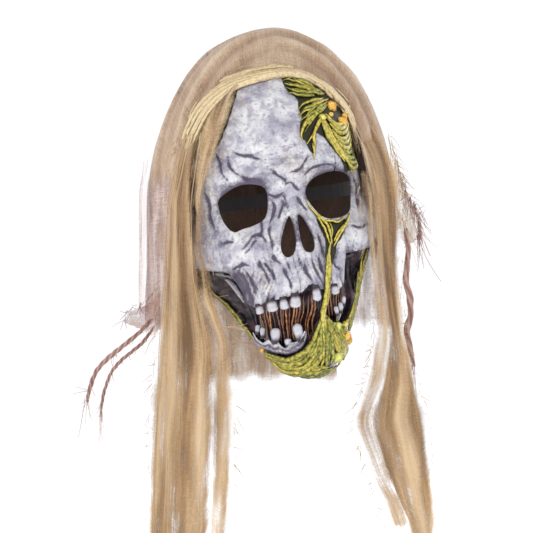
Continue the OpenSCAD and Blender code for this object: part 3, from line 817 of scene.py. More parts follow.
def teeth_piece(name, teeth, out, root_up):
    verts, faces, wash = [], [], []
    rows, columns = 18, 16
    t = np.linspace(0, 1, rows)[:, None]
    turn = 2 * np.pi * np.arange(columns)[None, :] / columns
    for k, (u, v, half, tall, lean) in enumerate(teeth):
        belly = .66 + .42 * t - .08 * t ** 2
        tip = np.sqrt(np.clip(1 - ((t - .70) / .3).clip(0) ** 2.4, .015, 1))
        width = half * belly * tip
        c, s = np.cos(turn), np.sin(turn)
        x = width * np.sign(c) * np.abs(c) ** .75
        y = -width * .72 * np.sign(s) * np.abs(s) ** .85
        z = (t - .5) * tall * (-1 if root_up else 1) * np.ones(columns)
        lumps = 1 + .07 * roughness_of(np.stack([x, y, z], -1) + 9 * k, 3, 2, 4)
        a = math.radians(lean)
        local = np.stack([x * math.cos(a) - z * math.sin(a), y, x * math.sin(a) + z * math.cos(a)], -1)
        local = local * lumps[..., None]
        verts.append((local + on_face(u, v, out, False)).reshape(-1, 3))
        index = len(wash) + np.arange(rows * columns).reshape(rows, columns)
        faces += band_faces(index) + [index[0].tolist(), index[-1][::-1].tolist()]
        # Painted shade: darker on each tooth's two flanks; also grey towards the root.
        shade = .85 * ease(.5, .05, t) + .8 * (1 - np.abs(s)) ** 2 + .15
        wash += np.clip(shade, 0, 1).ravel().tolist()
    piece = mesh_from(name, head_to_frame(np.vstack(verts)), faces)
    bm = bmesh.new()
    bm.from_mesh(piece.data)
    bmesh.ops.recalc_face_normals(bm, faces=bm.faces)
    bm.to_mesh(piece.data)
    bm.free()
    paint(piece, "wash", wash)
    piece.data.materials.append(tooth_mat)
    return piece


upper = teeth_piece("upper_tooth_row", UPPER_TEETH, 1.2, True)
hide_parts("upper_teeth")
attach(upper, "mask")
lower = teeth_piece("lower_tooth_row",
                    [(-25, -105.5, 4.6, 13, -4), (-7, -105, 4.6, 15, 6), (-38, -99, 2.3, 8, -12),
                     (-34.5, -102, 2.4, 9, -6), (-16, -112, 3.2, 7, 0), (27, -92, 2.2, 8, 8),
                     (31, -90, 2.3, 9, -4), (34.5, -85, 2.0, 8, -10)], -2.5, False)
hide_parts("lower_teeth")
hinged(lower)

# Chin and left jaw: sheaves of flesh that run down from the long strand, round the chin and up to the left
# cheek. A thin one edges the right cheek. All of them are cast on the jaw.
chin = sheaf([(13, -91), (8, -102), (1, -112), (-7, -121), (-20, -124), (-33, -118)],
             [(14, -102), (13, -118), (5, -132), (-8, -139), (-21, -135), (-34, -120)], 11, 2.3, 1.9, .8, 1.4)
chin += sheaf([(12, -94), (10, -112), (6, -128), (2, -140)],
              [(18, -95), (19, -112), (20, -126), (18, -138)], 5, 2.5, 1.9, 1.4, 1.3)
chin += sheaf([(16, -100), (22, -114), (27, -126), (26, -136)],
              [(20, -99), (28, -105), (36, -112), (38, -121)], 8, 2.0, 2.0, 1.4, 1.3)
chin += sheaf([(17, -106), (22, -120), (24, -132), (21, -141)],
              [(24, -108), (31, -117), (35, -125), (36, -130)], 8, 2.2, 2.0, 1.0, 1.2)
chin += sheaf([(-16, -138), (-2, -142), (12, -142), (25, -138)],
              [(-12, -131), (2, -133), (12, -133), (24, -129)], 5, 2.1, 2.1, .5, 1.2)
chin += sheaf([(38, -112), (44, -92), (50, -72), (53, -47)], [(41, -110), (50, -86), (57, -67), (66, -47)],
              8, 1.9, 1.5, -1)
chin += sheaf([(16, -90), (20, -99), (28, -104), (37, -99), (43, -86), (47, -72)],
              [(14, -92), (19, -102), (29, -107), (40, -101), (46, -87), (49, -73)], 3, 1.6, 1.2, .6)
chin += sheaf([(-75, -50), (-67, -65), (-58, -78), (-50, -92), (-43, -104), (-34, -118)],
              [(-73, -51), (-65, -64), (-56, -78), (-48, -92), (-42, -103), (-33, -117)], 3, .9, 1.3, -2.5,
              .4)
chin_flesh = strand_piece("chin_strands", chin, flesh_mat, (0.0, 0.7), brightness=0.86)
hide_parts("chin_flesh")
hinged(chin_flesh)

jaw_boils = boils_piece("jaw_blisters",
                        [(26, -104, 3.6, 1, .9), (33, -104, 3.0, 1, .8), (33, -113, 4.2, 1.5, 0),
                         (36, -118, 3.4, 1.2, 0), (24, -129, 5.2, .2, 1), (-35, -116, 2.0, -1, 0),
                         (-31, -121, 2.2, -1, 0), (-27, -125, 1.8, -1, .1)])
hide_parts("jaw_boils")
hinged(jaw_boils)

# The long strand: five cords of flesh laid side by side, from the socket's web over the mouth to the chin.
# It crosses from the face to the jaw.
long_strand = sheaf([(27, -24), (27, -36), (23, -47), (20, -60), (17, -74), (12.5, -88), (12, -100),
                     (11, -114)], [(31, -24), (30, -37), (26, -47), (23, -60), (20, -74), (16, -88),
                                   (16, -100), (17, -114)], 5, 1.5, 2.0, 2.2, .9)
strand = strand_piece("flesh_cord", long_strand, flesh_mat, (0.35, 1))
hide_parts("flesh_strand")
hinged(strand)

# Gauze: loose cotton cheesecloth, dyed tan by hand and worn into holes. Warp and weft are streaks along and
# across each sheet, and the sheet thins where its "cover" value falls, so that edges fray and single layers
# show light. Its colour runs from deep to pale with the "fold" value, which the sheets set lighter on the
# ridges of their folds and darker in the valleys, as painted highlight and shade; loose threads take a random
# tone there instead.
def gauze_material(name, deep, middle, pale, tear=1.0):
    material, tree, shader = new_material(name, Roughness=0.85, Specular_IOR_Level=0.15, Sheen_Weight=0.25)
    across, along = attribute(tree, "across"), attribute(tree, "along")
    warp = cloudy(tree, 900, 2, add(tree, "CombineXYZ", i0=across,
                                    i1=sums(tree, "MULTIPLY", along, 0.035)).outputs[0])
    weft = cloudy(tree, 900, 2, add(tree, "CombineXYZ", i0=sums(tree, "MULTIPLY", across, 0.08),
                                    i1=along).outputs[0])
    holes = cloudy(tree, 75, 4, add(tree, "CombineXYZ", i0=across,
                                    i1=sums(tree, "MULTIPLY", along, 0.3)).outputs[0])
    threads = sums(tree, "ADD", sums(tree, "MULTIPLY", warp, 0.55), sums(tree, "MULTIPLY", weft, 0.45))
    fuzz = cloudy(tree, 1500, 3)
    solid = sums(tree, "ADD", attribute(tree, "cover"), sums(tree, "MULTIPLY_ADD", threads, 1.0, -0.5))
    solid = sums(tree, "ADD", solid, sums(tree, "MULTIPLY_ADD", fuzz, 0.7, -0.35))
    solid = sums(tree, "ADD", solid, sums(tree, "MULTIPLY_ADD", holes, tear, -0.5 * tear))
    clear = add(tree, "MapRange", i0=solid, i1=0.15, i2=0.85).outputs[0]
    tree.links.new(clear, shader.inputs["Alpha"])
    shade = sums(tree, "ADD", attribute(tree, "fold"), sums(tree, "MULTIPLY_ADD", threads, 0.75, -0.375))
    shade = sums(tree, "ADD", shade, sums(tree, "MULTIPLY_ADD", holes, 0.35, -0.175))
    shade = sums(tree, "ADD", shade, sums(tree, "MULTIPLY_ADD", fuzz, 0.9, -0.45))
    coloured(tree, shader, ramp(tree, shade, (0.10, deep), (0.48, middle), (0.90, pale)))
    bumped(tree, shader, threads, 0.5, 0.0008)
    return material


tan_gauze = gauze_material("tan_gauze", (0.20, 0.120, 0.062), (0.40, 0.258, 0.136), (0.63, 0.465, 0.285))
hood_gauze = gauze_material("hood_gauze", (0.21, 0.125, 0.080), (0.41, 0.28, 0.185), (0.70, 0.57, 0.43))
sheer_gauze = gauze_material("sheer_gauze", (0.30, 0.17, 0.13), (0.50, 0.36, 0.31), (0.72, 0.62, 0.62), 1.3)
# Near-black brown: painted shade for the inside of the hood.
shaded_lining_gauze = gauze_material("shaded_lining_gauze", (0.030, 0.018, 0.014), (0.085, 0.050, 0.036),
                              (0.17, 0.105, 0.075), 0.5)
mauve_gauze = gauze_material("mauve_gauze", (0.10, 0.045, 0.045), (0.30, 0.165, 0.140), (0.56, 0.40, 0.34))


def cloth(name, points, material, cover, fold):
    rows, columns = points.shape[:2]
    sideways = np.linalg.norm(np.diff(points, axis=1), axis=2)
    downward = np.linalg.norm(np.diff(points, axis=0), axis=2)
    across = np.hstack([np.zeros((rows, 1)), np.cumsum(sideways, axis=1)])
    along = np.vstack([np.zeros((1, columns)), np.cumsum(downward, axis=0)])
    piece = mesh_from(name, points.reshape(-1, 3) * MM, sheet_faces(rows, columns))
    paint(piece, "across", (across - across.mean(1)[:, None]) * MM)
    paint(piece, "along", along * MM)
    paint(piece, "cover", cover)
    paint(piece, "fold", fold)
    piece.data.materials.append(material)
    flat = (across[:, -1].mean() * MM, along[-1].mean() * MM)
    return piece, flat


def threads_piece(name, lines, radius, material, sides=4):
    verts, faces, tone, run = [], [], [], []
    for line in lines:
        line = np.asarray(line, float)
        thin = radius * np.linspace(1, .6, len(line)) * rng.uniform(.7, 1.3)
        line_verts, line_faces = tube(line, [.13, 1, .07], thin[:, None] * np.ones(sides), len(tone))
        verts.append(line_verts)
        faces += line_faces
        tone += [rng.uniform(.3, 1)] * (len(line) * sides)
        run += np.repeat(np.arange(len(line)) * MM, sides).tolist()
    piece = mesh_from(name, np.vstack(verts) * MM, faces)
    paint(piece, "across", np.array(tone) * .05)
    paint(piece, "along", run)
    paint(piece, "cover", [2.0] * len(tone))
    paint(piece, "fold", tone)
    piece.data.materials.append(material)
    return piece


def loose_ends(edge, number, reach, sideways, drop=.5):
    edge = curve(edge, 200)
    lines = []
    for _ in range(number):
        start = edge[rng.integers(3, 197)] + rng.normal(0, .8, 3)
        length = reach * rng.uniform(.35, 1.3)
        heading = np.array([sideways * rng.uniform(.0, .8), rng.normal(0, .25),
                            -drop * rng.uniform(-.4, 2.2)])
        t = np.linspace(0, 1, 7)[:, None]
        curl = rng.normal(0, .4, 3)
        lines.append(start + length * (t * heading + t ** 2 * curl + [0, 0, -.25] * t ** 2))
    return lines


# Hood: one shaped piece of gauze over the crown, the temples and the back of the head, glued to the latex
# behind the roll of gauze at the forehead. Under it lies a second layer, coloured near-black brown as painted
# shade of the hood's inside.
hood_low, hood_high = (np.array(corner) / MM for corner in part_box("hood_cap"))
HALF_W, BACK, CROWN = hood_high
FRONT = 83
OPENING = -hood_low[1]
PSI_FRONT = math.degrees(math.acos(OPENING / FRONT))


def dome(phi, psi, out=0.0):
    phi, psi = np.radians(phi), np.radians(psi)
    reach = np.where(np.cos(psi) > 0, FRONT, BACK) + out
    return np.stack([(HALF_W + out) * np.sin(psi) * np.sin(phi), -reach * np.cos(psi),
                     (CROWN + out) * np.sin(psi) * np.cos(phi)], -1)


# Long creases of the hood: angles across the crown and from front to back, each from and to, and the height.
HOOD_CREASES = [(-12, -78, 74, 58, 2.6), (-8, -60, 62, 52, 2.0), (-2, 62, 66, 54, 2.6), (10, 80, 76, 62, 2.2),
                (-25, -88, 92, 76, 1.8), (28, 86, 96, 84, 1.6)]


def hood_sheet(name, out, height, bottom, material, cover, steps=(96, 120)):
    psi, phi = np.meshgrid(np.linspace(PSI_FRONT - 1, 179.9, steps[0]),
                           np.linspace(-90 - bottom, 90 + bottom, steps[1]), indexing="ij")
    plain = dome(np.clip(phi, -90, 90), psi, out)
    plain[..., 2] -= (np.abs(phi) - 90).clip(0) * 1.8 * (1 if out == 0 else ease(92, 128, psi) * .9 + .1)
    long_folds = rough(phi / 60, psi / 9, 0, 3, 41)
    puckers = rough(phi / 7, psi / 40, 0, 3, 42) * ease(120, 55, psi)
    wide = rough(phi / 35, psi / 25, 0, 2, 43)
    shape = height * (.35 * long_folds + .8 * puckers + 1.4 * wide)
    for phi0, phi1, psi0, psi1, high in HOOD_CREASES:
        middle = np.interp(phi, sorted((phi0, phi1)), (psi0, psi1) if phi0 < phi1 else (psi1, psi0))
        near, far = min(phi0, phi1), max(phi0, phi1)
        inside = ease(near - 16, near + 8, phi) * ease(far + 16, far - 8, phi)
        gap = psi - middle
        crease = high * (np.exp(-(gap / 2.6) ** 2) - .8 * np.exp(-((gap + 4.5) / 3) ** 2)) * inside
        shape = shape + height * crease * .8
    outward = plain / [HALF_W ** 2, BACK ** 2, CROWN ** 2]
    outward /= np.linalg.norm(outward, axis=-1)[..., None]
    points = plain + outward * np.clip(shape, -4, 5)[..., None]
    # Painted highlight and shade: lighter where the cloth stands out and darker in its creases, and lighter
    # across the top of the crown.
    fold = np.clip(.5 + .08 * shape + .14 * wide + .25 * ease(75, 95, psi) * ease(40, 0, np.abs(phi)), 0, 1)
    ends = ease(90 + bottom, 72 + bottom, np.abs(phi))
    thickness = (cover(phi, psi) + .12 * shape) * ends - (1 - ends) * .4
    return cloth(name, points[:, ::-1], material, thickness, fold[:, ::-1])


lining, lining_flat = hood_sheet("shaded_hood_layer", -8, .5, 55, shaded_lining_gauze, lambda phi, psi: 1.1, (60, 90))
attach(lining, "mask")
hood, hood_flat = hood_sheet("hood_gauze", 0, 1.0, 34, hood_gauze,
                             lambda phi, psi: 1.08 - .42 * ease(72, 95, psi) * ease(150, 110, psi))
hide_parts("hood_cap")
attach(hood, "mask")

# Sheer layers: thin falls of gauze at both sides and the back of the hood, and one more layer that stands
# off its right side. Light comes through them.
def fall(name, psi0, psi1, top, low, fold, material, cover, seed, out=1.5, columns=70, rows=70):
    z, psi = np.meshgrid(np.linspace(top, low, rows), np.linspace(psi0, psi1, columns), indexing="ij")
    narrow = np.sqrt(1 - np.clip(z / CROWN, 0, 1) ** 2)
    turn = np.radians(psi)
    reach = np.where(np.cos(turn) > 0, FRONT, BACK)
    waves = rough(psi / 6.5, 0, z / 90, 3, seed) * ease(top, low + 40, z)
    stand = out + fold * waves
    hem = 6 * rough(psi / 7, 0, 0, 4, seed + 1) * ease(low + 45, low, z)
    points = np.stack([(HALF_W * narrow + stand) * np.sin(turn), -(reach * narrow + stand) * np.cos(turn),
                       z + 7 * ease(low + 45, low, z) + hem], -1)
    thin = ease(low, low + 22, z) * ease(top, top - 40, z)
    if psi0 < 0:
        points = points[:, ::-1]
        waves = waves[:, ::-1]
    # The colour is lighter where the folds stand out and darker between them, as painted highlight and shade.
    return cloth(name, points, material, cover * thin - (1 - thin) * .3, np.clip(.55 + .35 * waves, 0, 1))


VEIL_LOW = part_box("left_side_veil")[0][2] / MM
VEIL_END = 136
right_veil, right_veil_flat = fall("right_veil_gauze", -VEIL_END - 7, -PSI_FRONT - 1, 44, VEIL_LOW, 3.0,
                                   sheer_gauze, .66, 51)
left_veil, left_veil_flat = fall("left_veil_gauze", PSI_FRONT + 1, VEIL_END + 7, 44, VEIL_LOW, 3.0,
                                 sheer_gauze, .62, 52)
for veil, flat, node in ((right_veil, right_veil_flat, "right_side_veil"),
                         (left_veil, left_veil_flat, "left_side_veil")):
    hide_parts(node)
    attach(veil, "mask")

curtain_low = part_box("back_curtain")[0][2] / MM
curtain, curtain_flat = fall("back_curtain_gauze", VEIL_END + 2, 358 - VEIL_END, 34, curtain_low, 3.5,
                             hood_gauze, .80, 53, out=3, columns=90, rows=90)
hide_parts("back_curtain")
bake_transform(curtain)

outer_low, outer_high = (np.array(corner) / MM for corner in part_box("right_outer_veil"))
z, y = np.meshgrid(np.linspace(outer_high[2] + 22, outer_low[2], 60),
                   np.linspace(outer_high[1] + 14, outer_low[1] - 6, 30), indexing="ij")
swell = ease(outer_high[2] + 22, outer_high[2] - 20, z) * ease(outer_low[2] - 25, outer_low[2] + 25, z)
ripple = rough(0, y / 9, z / 45, 3, 54)
x = -(HALF_W + 1 + 6 * swell * (1 - ((y - 10) / 42) ** 2).clip(0) + 1.2 * ripple)
ends = ease(outer_high[2] + 22, outer_high[2] + 8, z) * ease(outer_low[2], outer_low[2] + 14, z)
ends *= ease(outer_high[1] + 14, outer_high[1] + 4, y) * ease(outer_low[1] - 6, outer_low[1] + 2, y)
# Its colour is pale, and lighter where its ripples stand out, as painted highlight.
outer_veil, outer_flat = cloth("right_outer_gauze", np.stack([x, y, z], -1), sheer_gauze,
                               .48 * ends - .3 * (1 - ends), np.clip(.85 + .2 * ripple, 0, 1))
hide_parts("right_outer_veil")
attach(outer_veil, "mask")

# Front drapes: two long strips of gauze that hang from the roll past the cheeks to the chest, each with a
# narrower strip at its inner edge.
RIGHT_OUTER = [(-290, -114), (-177, -111), (-112, -105), (-80, -101), (-22, -96), (10, -95), (40, -90),
               (62, -79), (80, -69), (96, -56)]
RIGHT_INNER = [(-290, -62), (-177, -57), (-112, -57), (-80, -66), (-22, -72), (26, -72), (45, -69), (62, -65),
               (80, -58), (96, -46)]
RIGHT_STRIP = [(-290, -46), (-177, -42), (-112, -44), (-80, -56), (-40, -65), (-8, -67), (17, -63), (43, -54),
               (69, -46), (90, -38), (104, -26)]
LEFT_OUTER = [(-290, 124), (-245, 124), (-187, 119), (-137, 107), (-104, 101), (-46, 99), (-10, 101),
              (22, 99), (56, 88), (80, 76), (96, 64), (108, 48)]
LEFT_INNER = [(-290, 102), (-264, 96), (-220, 80), (-178, 66), (-146, 77), (-104, 84), (-73, 80), (-30, 73),
              (5, 70), (31, 63), (51, 60), (80, 52), (96, 42), (108, 26)]
LEFT_STRIP = [(-290, 88), (-264, 82), (-220, 67), (-178, 53), (-146, 64), (-104, 73), (-73, 71), (-30, 64),
              (5, 60), (30, 56)]
drape_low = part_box("right_drape")[0][2] / MM


def over_face(x, z, out):
    head_u, head_v = x * math.cos(LEAN) + z * math.sin(LEAN), z * math.cos(LEAN) - x * math.sin(LEAN)
    limit = .97 * CHEEK_HALF_W * smooth_table(head_v, WIDTH_SHARE)
    return on_face(np.clip(head_u, -limit, limit), head_v, out)[..., 1]


def hanging_y(x, z):
    y = -(62 + 40 * ease(96, 40, np.abs(x)))
    return y + (-84 - y) * ease(-60, -150, z)


def drape_sheet(name, edge_a, edge_b, low, high, forward, deep, width, material, cover, seed, columns,
                rows=220, ragged=2.2):
    z, s = np.meshgrid(np.linspace(high, low, rows), np.linspace(0, 1, columns), indexing="ij")
    a, b = smooth_table(z, edge_a), smooth_table(z, edge_b)
    run = s * np.abs(b - a).mean()
    drift = 3 * rough(0, 0, z / 60, 2, seed + 5)
    waves = rough((run + drift) / width, 0, z / 170, 2, seed)
    fine = rough(run / 2.6, 0, z / 45, 3, seed + 1)
    rim_gap = np.minimum(s, 1 - s) * np.abs(b - a)
    torn = ragged * rough(np.round(s) * 50, 0, z / 16, 4, seed + 2) * ease(7, 0, rim_gap)
    x = a + (b - a) * s + torn * np.sign(b - a) * np.where(s > .5, 1, -1)
    y = hanging_y(x, z)
    y = y + (over_face(x, z, 7) - y) * ease(20, 74, z)
    y = y - forward - deep * waves * ease(high + 4, high - 40, z) - .9 * fine
    hem = 8 * rough(run / 5, 0, 0, 3, seed + 3)
    z = z + (9 + hem).clip(1) * ease(low + 60, low, z)
    thin = (.45 + .55 * ease(1, 7, rim_gap)) * ease(0, 2, rim_gap)
    thin = thin * ease(low, low + 14, z) * ease(high, high - 8, z)
    broad = rough(run / 9, 0, z / 110, 2, seed + 7)
    # Lighter on the ridges of the folds and darker in their valleys, as painted highlight and shade, with a
    # broad random tone on top.
    fold = np.clip(.54 + .50 * waves + .34 * broad + .22 * fine, 0, 1)
    return cloth(name, np.stack([x, y, z], -1), material, (cover + .22 * fine) * thin - .35 * (1 - thin),
                 fold)


right_drape, right_flat = drape_sheet("right_drape_gauze", RIGHT_OUTER, RIGHT_INNER, drape_low + 2, 96, 0,
                                      5.5, 10, tan_gauze, .95, 61, 90)
right_strip, right_strip_flat = drape_sheet("right_strip_gauze", [(z, x - 5) for z, x in RIGHT_INNER],
                                            RIGHT_STRIP, drape_low + 10, 104, 3, 2.2, 7, tan_gauze, .80, 71,
                                            36)
left_drape, left_flat = drape_sheet("left_drape_gauze", LEFT_INNER, LEFT_OUTER, drape_low + 2, 106, 0, 3.8,
                                    10, tan_gauze, .98, 81, 60)
left_strip, left_strip_flat = drape_sheet("left_strip_gauze", LEFT_STRIP, [(z, x + 6) for z, x in LEFT_INNER],
                                          drape_low + 16, 30, 1, 1.8, 6, tan_gauze, .66, 91, 30)


def edge_points(table, z0, z1, forward=0.0):
    z = np.linspace(z0, z1, 40)
    x = smooth_table(z, table)
    return np.stack([x, hanging_y(x, z) - forward, z], -1)


right_lines = loose_ends(edge_points(RIGHT_OUTER, 60, -280), 70, 8, -1)
right_lines += loose_ends(edge_points(RIGHT_OUTER, 60, 20), 16, 9, -1)
heights = (-280, -200, -120, -60, 0, 60)
outer_x, inner_x = (np.interp(heights, *np.array(edge).T) for edge in (RIGHT_OUTER, RIGHT_INNER))
for share in rng.uniform(.05, .95, 14):
    route = [(z, x + rng.normal(0, 1)) for z, x in zip(heights, outer_x * (1 - share) + inner_x * share)]
    right_lines.append(edge_points(route, 55, -275, 2) - [0, 4, 0])
right_fringe = threads_piece("right_drape_threads", right_lines, .2, tan_gauze)
strip_lines = loose_ends(edge_points(RIGHT_STRIP, 90, -270, 3), 90, 7, 1)
strip_lines += loose_ends(edge_points(RIGHT_STRIP, -96, -128, 4), 26, 17, 1, .1)
strip_fringe = threads_piece("right_strip_threads", strip_lines, .2, tan_gauze)
left_lines = loose_ends(edge_points(LEFT_OUTER, -40, -280), 50, 7, 1)
left_lines += loose_ends(edge_points(LEFT_OUTER, 60, -20), 60, 12, 1, .9)
left_fringe = threads_piece("left_drape_threads", left_lines, .2, tan_gauze)
left_strip_lines = loose_ends(edge_points(LEFT_STRIP, 25, -270, 1), 110, 7, -1)
left_strip_fringe = threads_piece("left_strip_threads", left_strip_lines, .2, tan_gauze)
for sheet, threads, flat, node, body, sign in (
        (right_drape, right_fringe, right_flat, "right_drape", "right_front_drape", -1),
        (right_strip, strip_fringe, right_strip_flat, "right_inner_strip", "right_front_drape", -1),
        (left_drape, left_fringe, left_flat, "left_drape", "left_front_drape", 1),
        (left_strip, left_strip_fringe, left_strip_flat, "left_inner_strip", "left_front_drape", 1)):
    top = Vector((sign * .064, -.085, .075))
    for part in (sheet, threads):
        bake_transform(part)
    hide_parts(node)

# Roll at the forehead: the hood's front edge gathered into a soft rope of many strands, pale where it
# catches light. It is glued down along the latex, and a looser bundle crosses it on the right.
roll_mat, tree, shader = new_material("gathered_gauze", Roughness=0.85, Specular_IOR_Level=0.15,
                                      Sheen_Weight=0.3)
lit_crest = sums(tree, "ADD", attribute(tree, "lit_crest"),
             sums(tree, "MULTIPLY_ADD", cloudy(tree, 520, 3), 1.2, -0.6))
straw = ramp(tree, lit_crest, (0.0, (0.22, 0.13, 0.055)), (0.45, (0.50, 0.36, 0.185)), (0.95, (0.78, 0.64, 0.40)))
coloured(tree, shader, straw)
bumped(tree, shader, cloudy(tree, 700, 3), 0.5, 0.0006)
ROLL = [(-77, 30), (-71, 52), (-62, 70), (-53, 84), (-43, 94), (-28, 103), (-8, 107), (12, 108), (28, 105),
        (43, 97), (54, 84), (63, 70), (70, 52), (75, 32)]
roll = []
for k in range(38):
    twist, away = rng.uniform(0, 6.28), rng.uniform(.8, 6.0)
    path = curve(ROLL, 22)
    turn = twist + np.linspace(0, 2.6, 22)
    path = np.column_stack([path[:, 0] * (1 + .012 * away * np.cos(turn)), path[:, 1] + away * np.cos(turn),
                            3.5 + away * np.sin(turn)])
    first, last = rng.choice([0, 0, 1, 3, 6]), rng.choice([22, 22, 21, 18, 15])
    roll.append((path[first:last], rng.uniform(.8, 2.4), rng.uniform(.8, 2.4), 1.0))
brow = strand_piece("brow_gauze", roll, roll_mat, (0, 1), sides=7)
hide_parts("brow_roll")
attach(brow, "mask")
loops = [[(33, 104), (45, 94), (61, 85), (64, 79), (54, 77), (46, 85), (37, 99)],
         [(56, 120), (55, 112), (49, 106), (44, 100)],
         [(-67, 103), (-63, 97), (-59, 96), (-53, 99), (-47, 104)],
         [(30, 108), (44, 103), (57, 94), (66, 82), (72, 66)],
         [(-30, 104), (-44, 97), (-56, 84), (-63, 66), (-69, 40)],
         [(-24, 108), (-36, 101), (-44, 88), (-50, 70)], [(-38, 110), (-20, 117), (4, 120), (26, 116)],
         [(-60, 92), (-48, 104), (-30, 112), (-12, 113)]]
loops = [curve([(x, float(over_face(x, z, 11)), z) for x, z in line], 30) for line in loops]
hem = [(x, float(over_face(x, z, 7)), z) for x, z in ((-52, 88), (-30, 102), (0, 106), (30, 103), (60, 80))]
hair = threads_piece("brow_threads", loops + loose_ends(hem, 70, 6, 0, 1), .24, tan_gauze)
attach(hair, "mask")

# Torn corners: a net fan at the right shoulder and a flared flap at the left, both of gauze worn to its
# threads. They hang from the hood's lower edge.
def torn_corner(name, node, top, bottom, y, material, cover, seed):
    a, b = curve(top, 40), curve(bottom, 40)
    s = np.linspace(0, 1, 24)[None, :, None]
    flat_points = a[:, None] * (1 - s) + b[:, None] * s
    wobble = rough(flat_points[..., 0] / 5, flat_points[..., 1] / 5, 0, 3, seed)
    flat_points = flat_points + 1.2 * wobble[..., None]
    ripple = rough(flat_points[..., 0] / 5, flat_points[..., 1] / 16, 0, 2, seed + 1)
    points = np.dstack([flat_points[..., 0], y - 1.6 * ripple, flat_points[..., 1]])
    rim_gap = np.minimum(s[..., 0], 1 - s[..., 0]) * np.ones(ripple.shape)
    thin = ease(0, .15, rim_gap)
    thickness = (cover + .2 * ripple) * thin - .3 * (1 - thin)
    # Lighter where the ripples stand out, as painted highlight.
    piece, flat = cloth(name, points, material, thickness, np.clip(.5 + .4 * ripple, 0, 1))
    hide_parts(node)
    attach(piece, "mask")
    return piece, flat


fan, fan_flat = torn_corner("right_net", "right_net_fan",
                            [(-98, -68), (-106, -78), (-116, -84), (-124, -88), (-128, -97)],
                            [(-98, -108), (-103, -109), (-110, -108), (-117, -104), (-126, -99)],
                            -40, mauve_gauze, .58, 15)
net_edge = [(-99, -40, -68), (-112, -40, -81), (-124, -40, -88), (-128, -40, -98)]
net_threads = threads_piece("right_net_threads", loose_ends(net_edge, 26, 8, -1, .6), .26, mauve_gauze)
flap, flap_flat = torn_corner("left_flap", "left_torn_flap",
                              [(97, 34), (98, 12), (99, -8), (101, -24), (104, -34)],
                              [(101, 36), (107, 12), (114, 2), (119, -10), (117, -31)],
                              -40, hood_gauze, .50, 25)
flap_edge = [(104, -40, 26), (109, -40, 8), (116, -40, -2), (119, -40, -12), (117, -40, -28)]
flap_threads = threads_piece("left_flap_threads", loose_ends(flap_edge, 110, 12, .7, 1.1), .24, mauve_gauze)
for sheet, threads, flat in ((fan, net_threads, fan_flat), (flap, flap_threads, flap_flat)):
    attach(threads, "mask")

# Twisted cords: torn strips of the same gauze that have rolled up into cords and hang by one end.
# Two leave the net at the right shoulder, and one hangs beside the left drape.
RIGHT_UPPER_ROUTE = [(-104, -36, -95), (-108, -37, -99), (-112, -38, -103), (-116, -39, -107),
                     (-121, -40, -111), (-126, -40, -115), (-131, -41, -119), (-136, -41, -123),
                     (-141, -41, -127), (-146, -41, -132), (-150, -40, -137), (-153, -40, -143),
                     (-155, -40, -149), (-157, -40, -156), (-158, -40, -163)]
RIGHT_LOWER_ROUTE = [(-102, -30, -101), (-105, -30, -106), (-109, -31, -111), (-113, -31, -116),
                     (-118, -32, -120), (-123, -32, -124), (-128, -32, -128), (-133, -32, -133),
                     (-137, -32, -138), (-140, -32, -144), (-142, -32, -150), (-144, -32, -156),
                     (-145, -32, -162), (-146, -32, -168), (-146, -32, -174)]
LEFT_TWIST_ROUTE = [(105, -52, -20), (106, -52, -28), (107, -52, -36), (107, -52, -44), (106, -53, -52),
                    (105, -53, -60), (106, -53, -68), (108, -53, -76), (109, -53, -84), (109, -53, -92),
                    (107, -53, -100), (106, -53, -108), (108, -53, -117), (110, -53, -126), (112, -53, -135)]


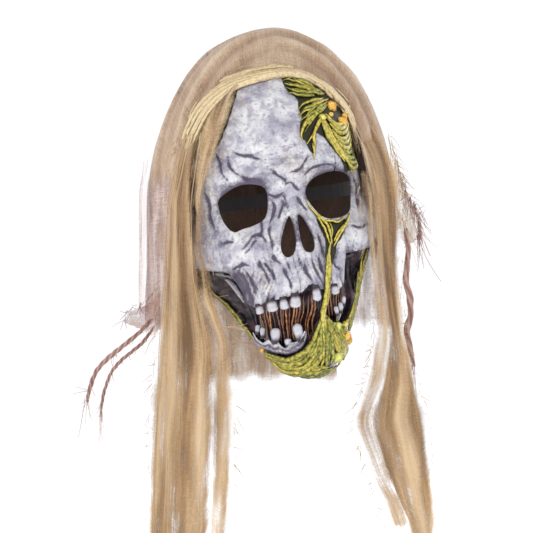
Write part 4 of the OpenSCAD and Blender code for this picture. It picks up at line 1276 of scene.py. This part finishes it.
def twisted_cord(name, node, route, radius, body, twists, seed):
    rows, sides = 90, 16
    path = curve(route, rows)
    t = np.linspace(0, 1, rows)
    angle = 2 * np.pi * np.arange(sides) / sides
    lobes = .5 + .5 * np.cos(3 * (angle[None, :] - 2 * np.pi * twists * t[:, None]))
    uneven = 1 + .18 * roughness_of(path / 9, 1, 2, seed)[:, None]
    taper = np.minimum(1, .55 + t / .08) * np.minimum(1, .55 + (1 - t) / .20)
    size = radius * (taper * (.74 + .26 * np.sin(np.pi * t)))[:, None] * (.80 + .20 * lobes) * uneven
    points, faces = tube(path, [0, 1, 0], size)
    piece = mesh_from(name, points * MM, faces)
    length = np.linalg.norm(np.diff(path, axis=0), axis=1).sum() * MM
    paint(piece, "across", np.arange(sides) * MM * np.ones(size.shape))
    paint(piece, "along", (t * length)[:, None] * np.ones(size.shape))
    paint(piece, "cover", np.full(size.shape, 2))
    # Lighter on the raised lobes of the twist, as painted highlight.
    paint(piece, "fold", .35 + .4 * lobes)
    piece.data.materials.append(mauve_gauze)
    outward = math.copysign(.5, path[-1][0] - path[0][0])
    ends = loose_ends(path[-12:], 12, 9, outward, 1.6) + loose_ends(path, 34, 5, -.5, .6)
    wisps = threads_piece(name + "_ends", ends, .22, mauve_gauze)
    for part in (piece, wisps):
        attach(part, body)
    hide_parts(node)


twisted_cord("right_upper_twist", "right_cord_upper", RIGHT_UPPER_ROUTE, 2.2, "mask", 4, 1)
twisted_cord("right_lower_twist", "right_cord_lower", RIGHT_LOWER_ROUTE, 1.6, "mask", 5, 2)
twisted_cord("left_twist_strip", "left_twist", LEFT_TWIST_ROUTE, 3.0, "left_front_drape", 2, 3)

# Strap: a black knitted elastic, two thickened latex tabs inside the temples that it is stapled to, and
# spots of clear rubber cement under the roll. They keep their CAD shape and only get their materials.
elastic_mat, tree, shader = new_material("black_elastic", Roughness=0.8, Sheen_Weight=0.2)
place = add(tree, "TexCoord").outputs["Object"]
ribs = add(tree, "TexWave", {"bands_direction": "Z"}, Vector=place, Scale=380.0, Distortion=0.6,
           Detail=2.0).outputs["Fac"]
coloured(tree, shader, ramp(tree, ribs, (0.2, (0.034, 0.032, 0.034)), (0.8, (0.066, 0.062, 0.068))))
bumped(tree, shader, ribs, 0.6, 0.0003)
tab_mat, tree, shader = new_material("tab_latex", Roughness=0.7)
coloured(tree, shader, ramp(tree, cloudy(tree, 200), (0.3, (0.26, 0.235, 0.215)),
                            (0.7, (0.34, 0.305, 0.285))))
steel_mat, tree, shader = new_material("staple_steel", Metallic=1.0, Roughness=0.3)
coloured(tree, shader, ramp(tree, cloudy(tree, 900), (0.3, (0.45, 0.45, 0.47)), (0.7, (0.65, 0.65, 0.67))))
glue_mat, tree, shader = new_material("rubber_cement", Roughness=0.25, Subsurface_Weight=0.3)
coloured(tree, shader, ramp(tree, cloudy(tree, 300), (0.3, (0.78, 0.73, 0.58)), (0.7, (0.90, 0.86, 0.74))))
for node, material in (("elastic_strap", elastic_mat), ("right_strap_tab", tab_mat),
                       ("left_strap_tab", tab_mat), ("strap_staples", steel_mat),
                       ("hood_glue_line", glue_mat)):
    frame["nodes"][node].data.materials.clear()
    frame["nodes"][node].data.materials.append(material)
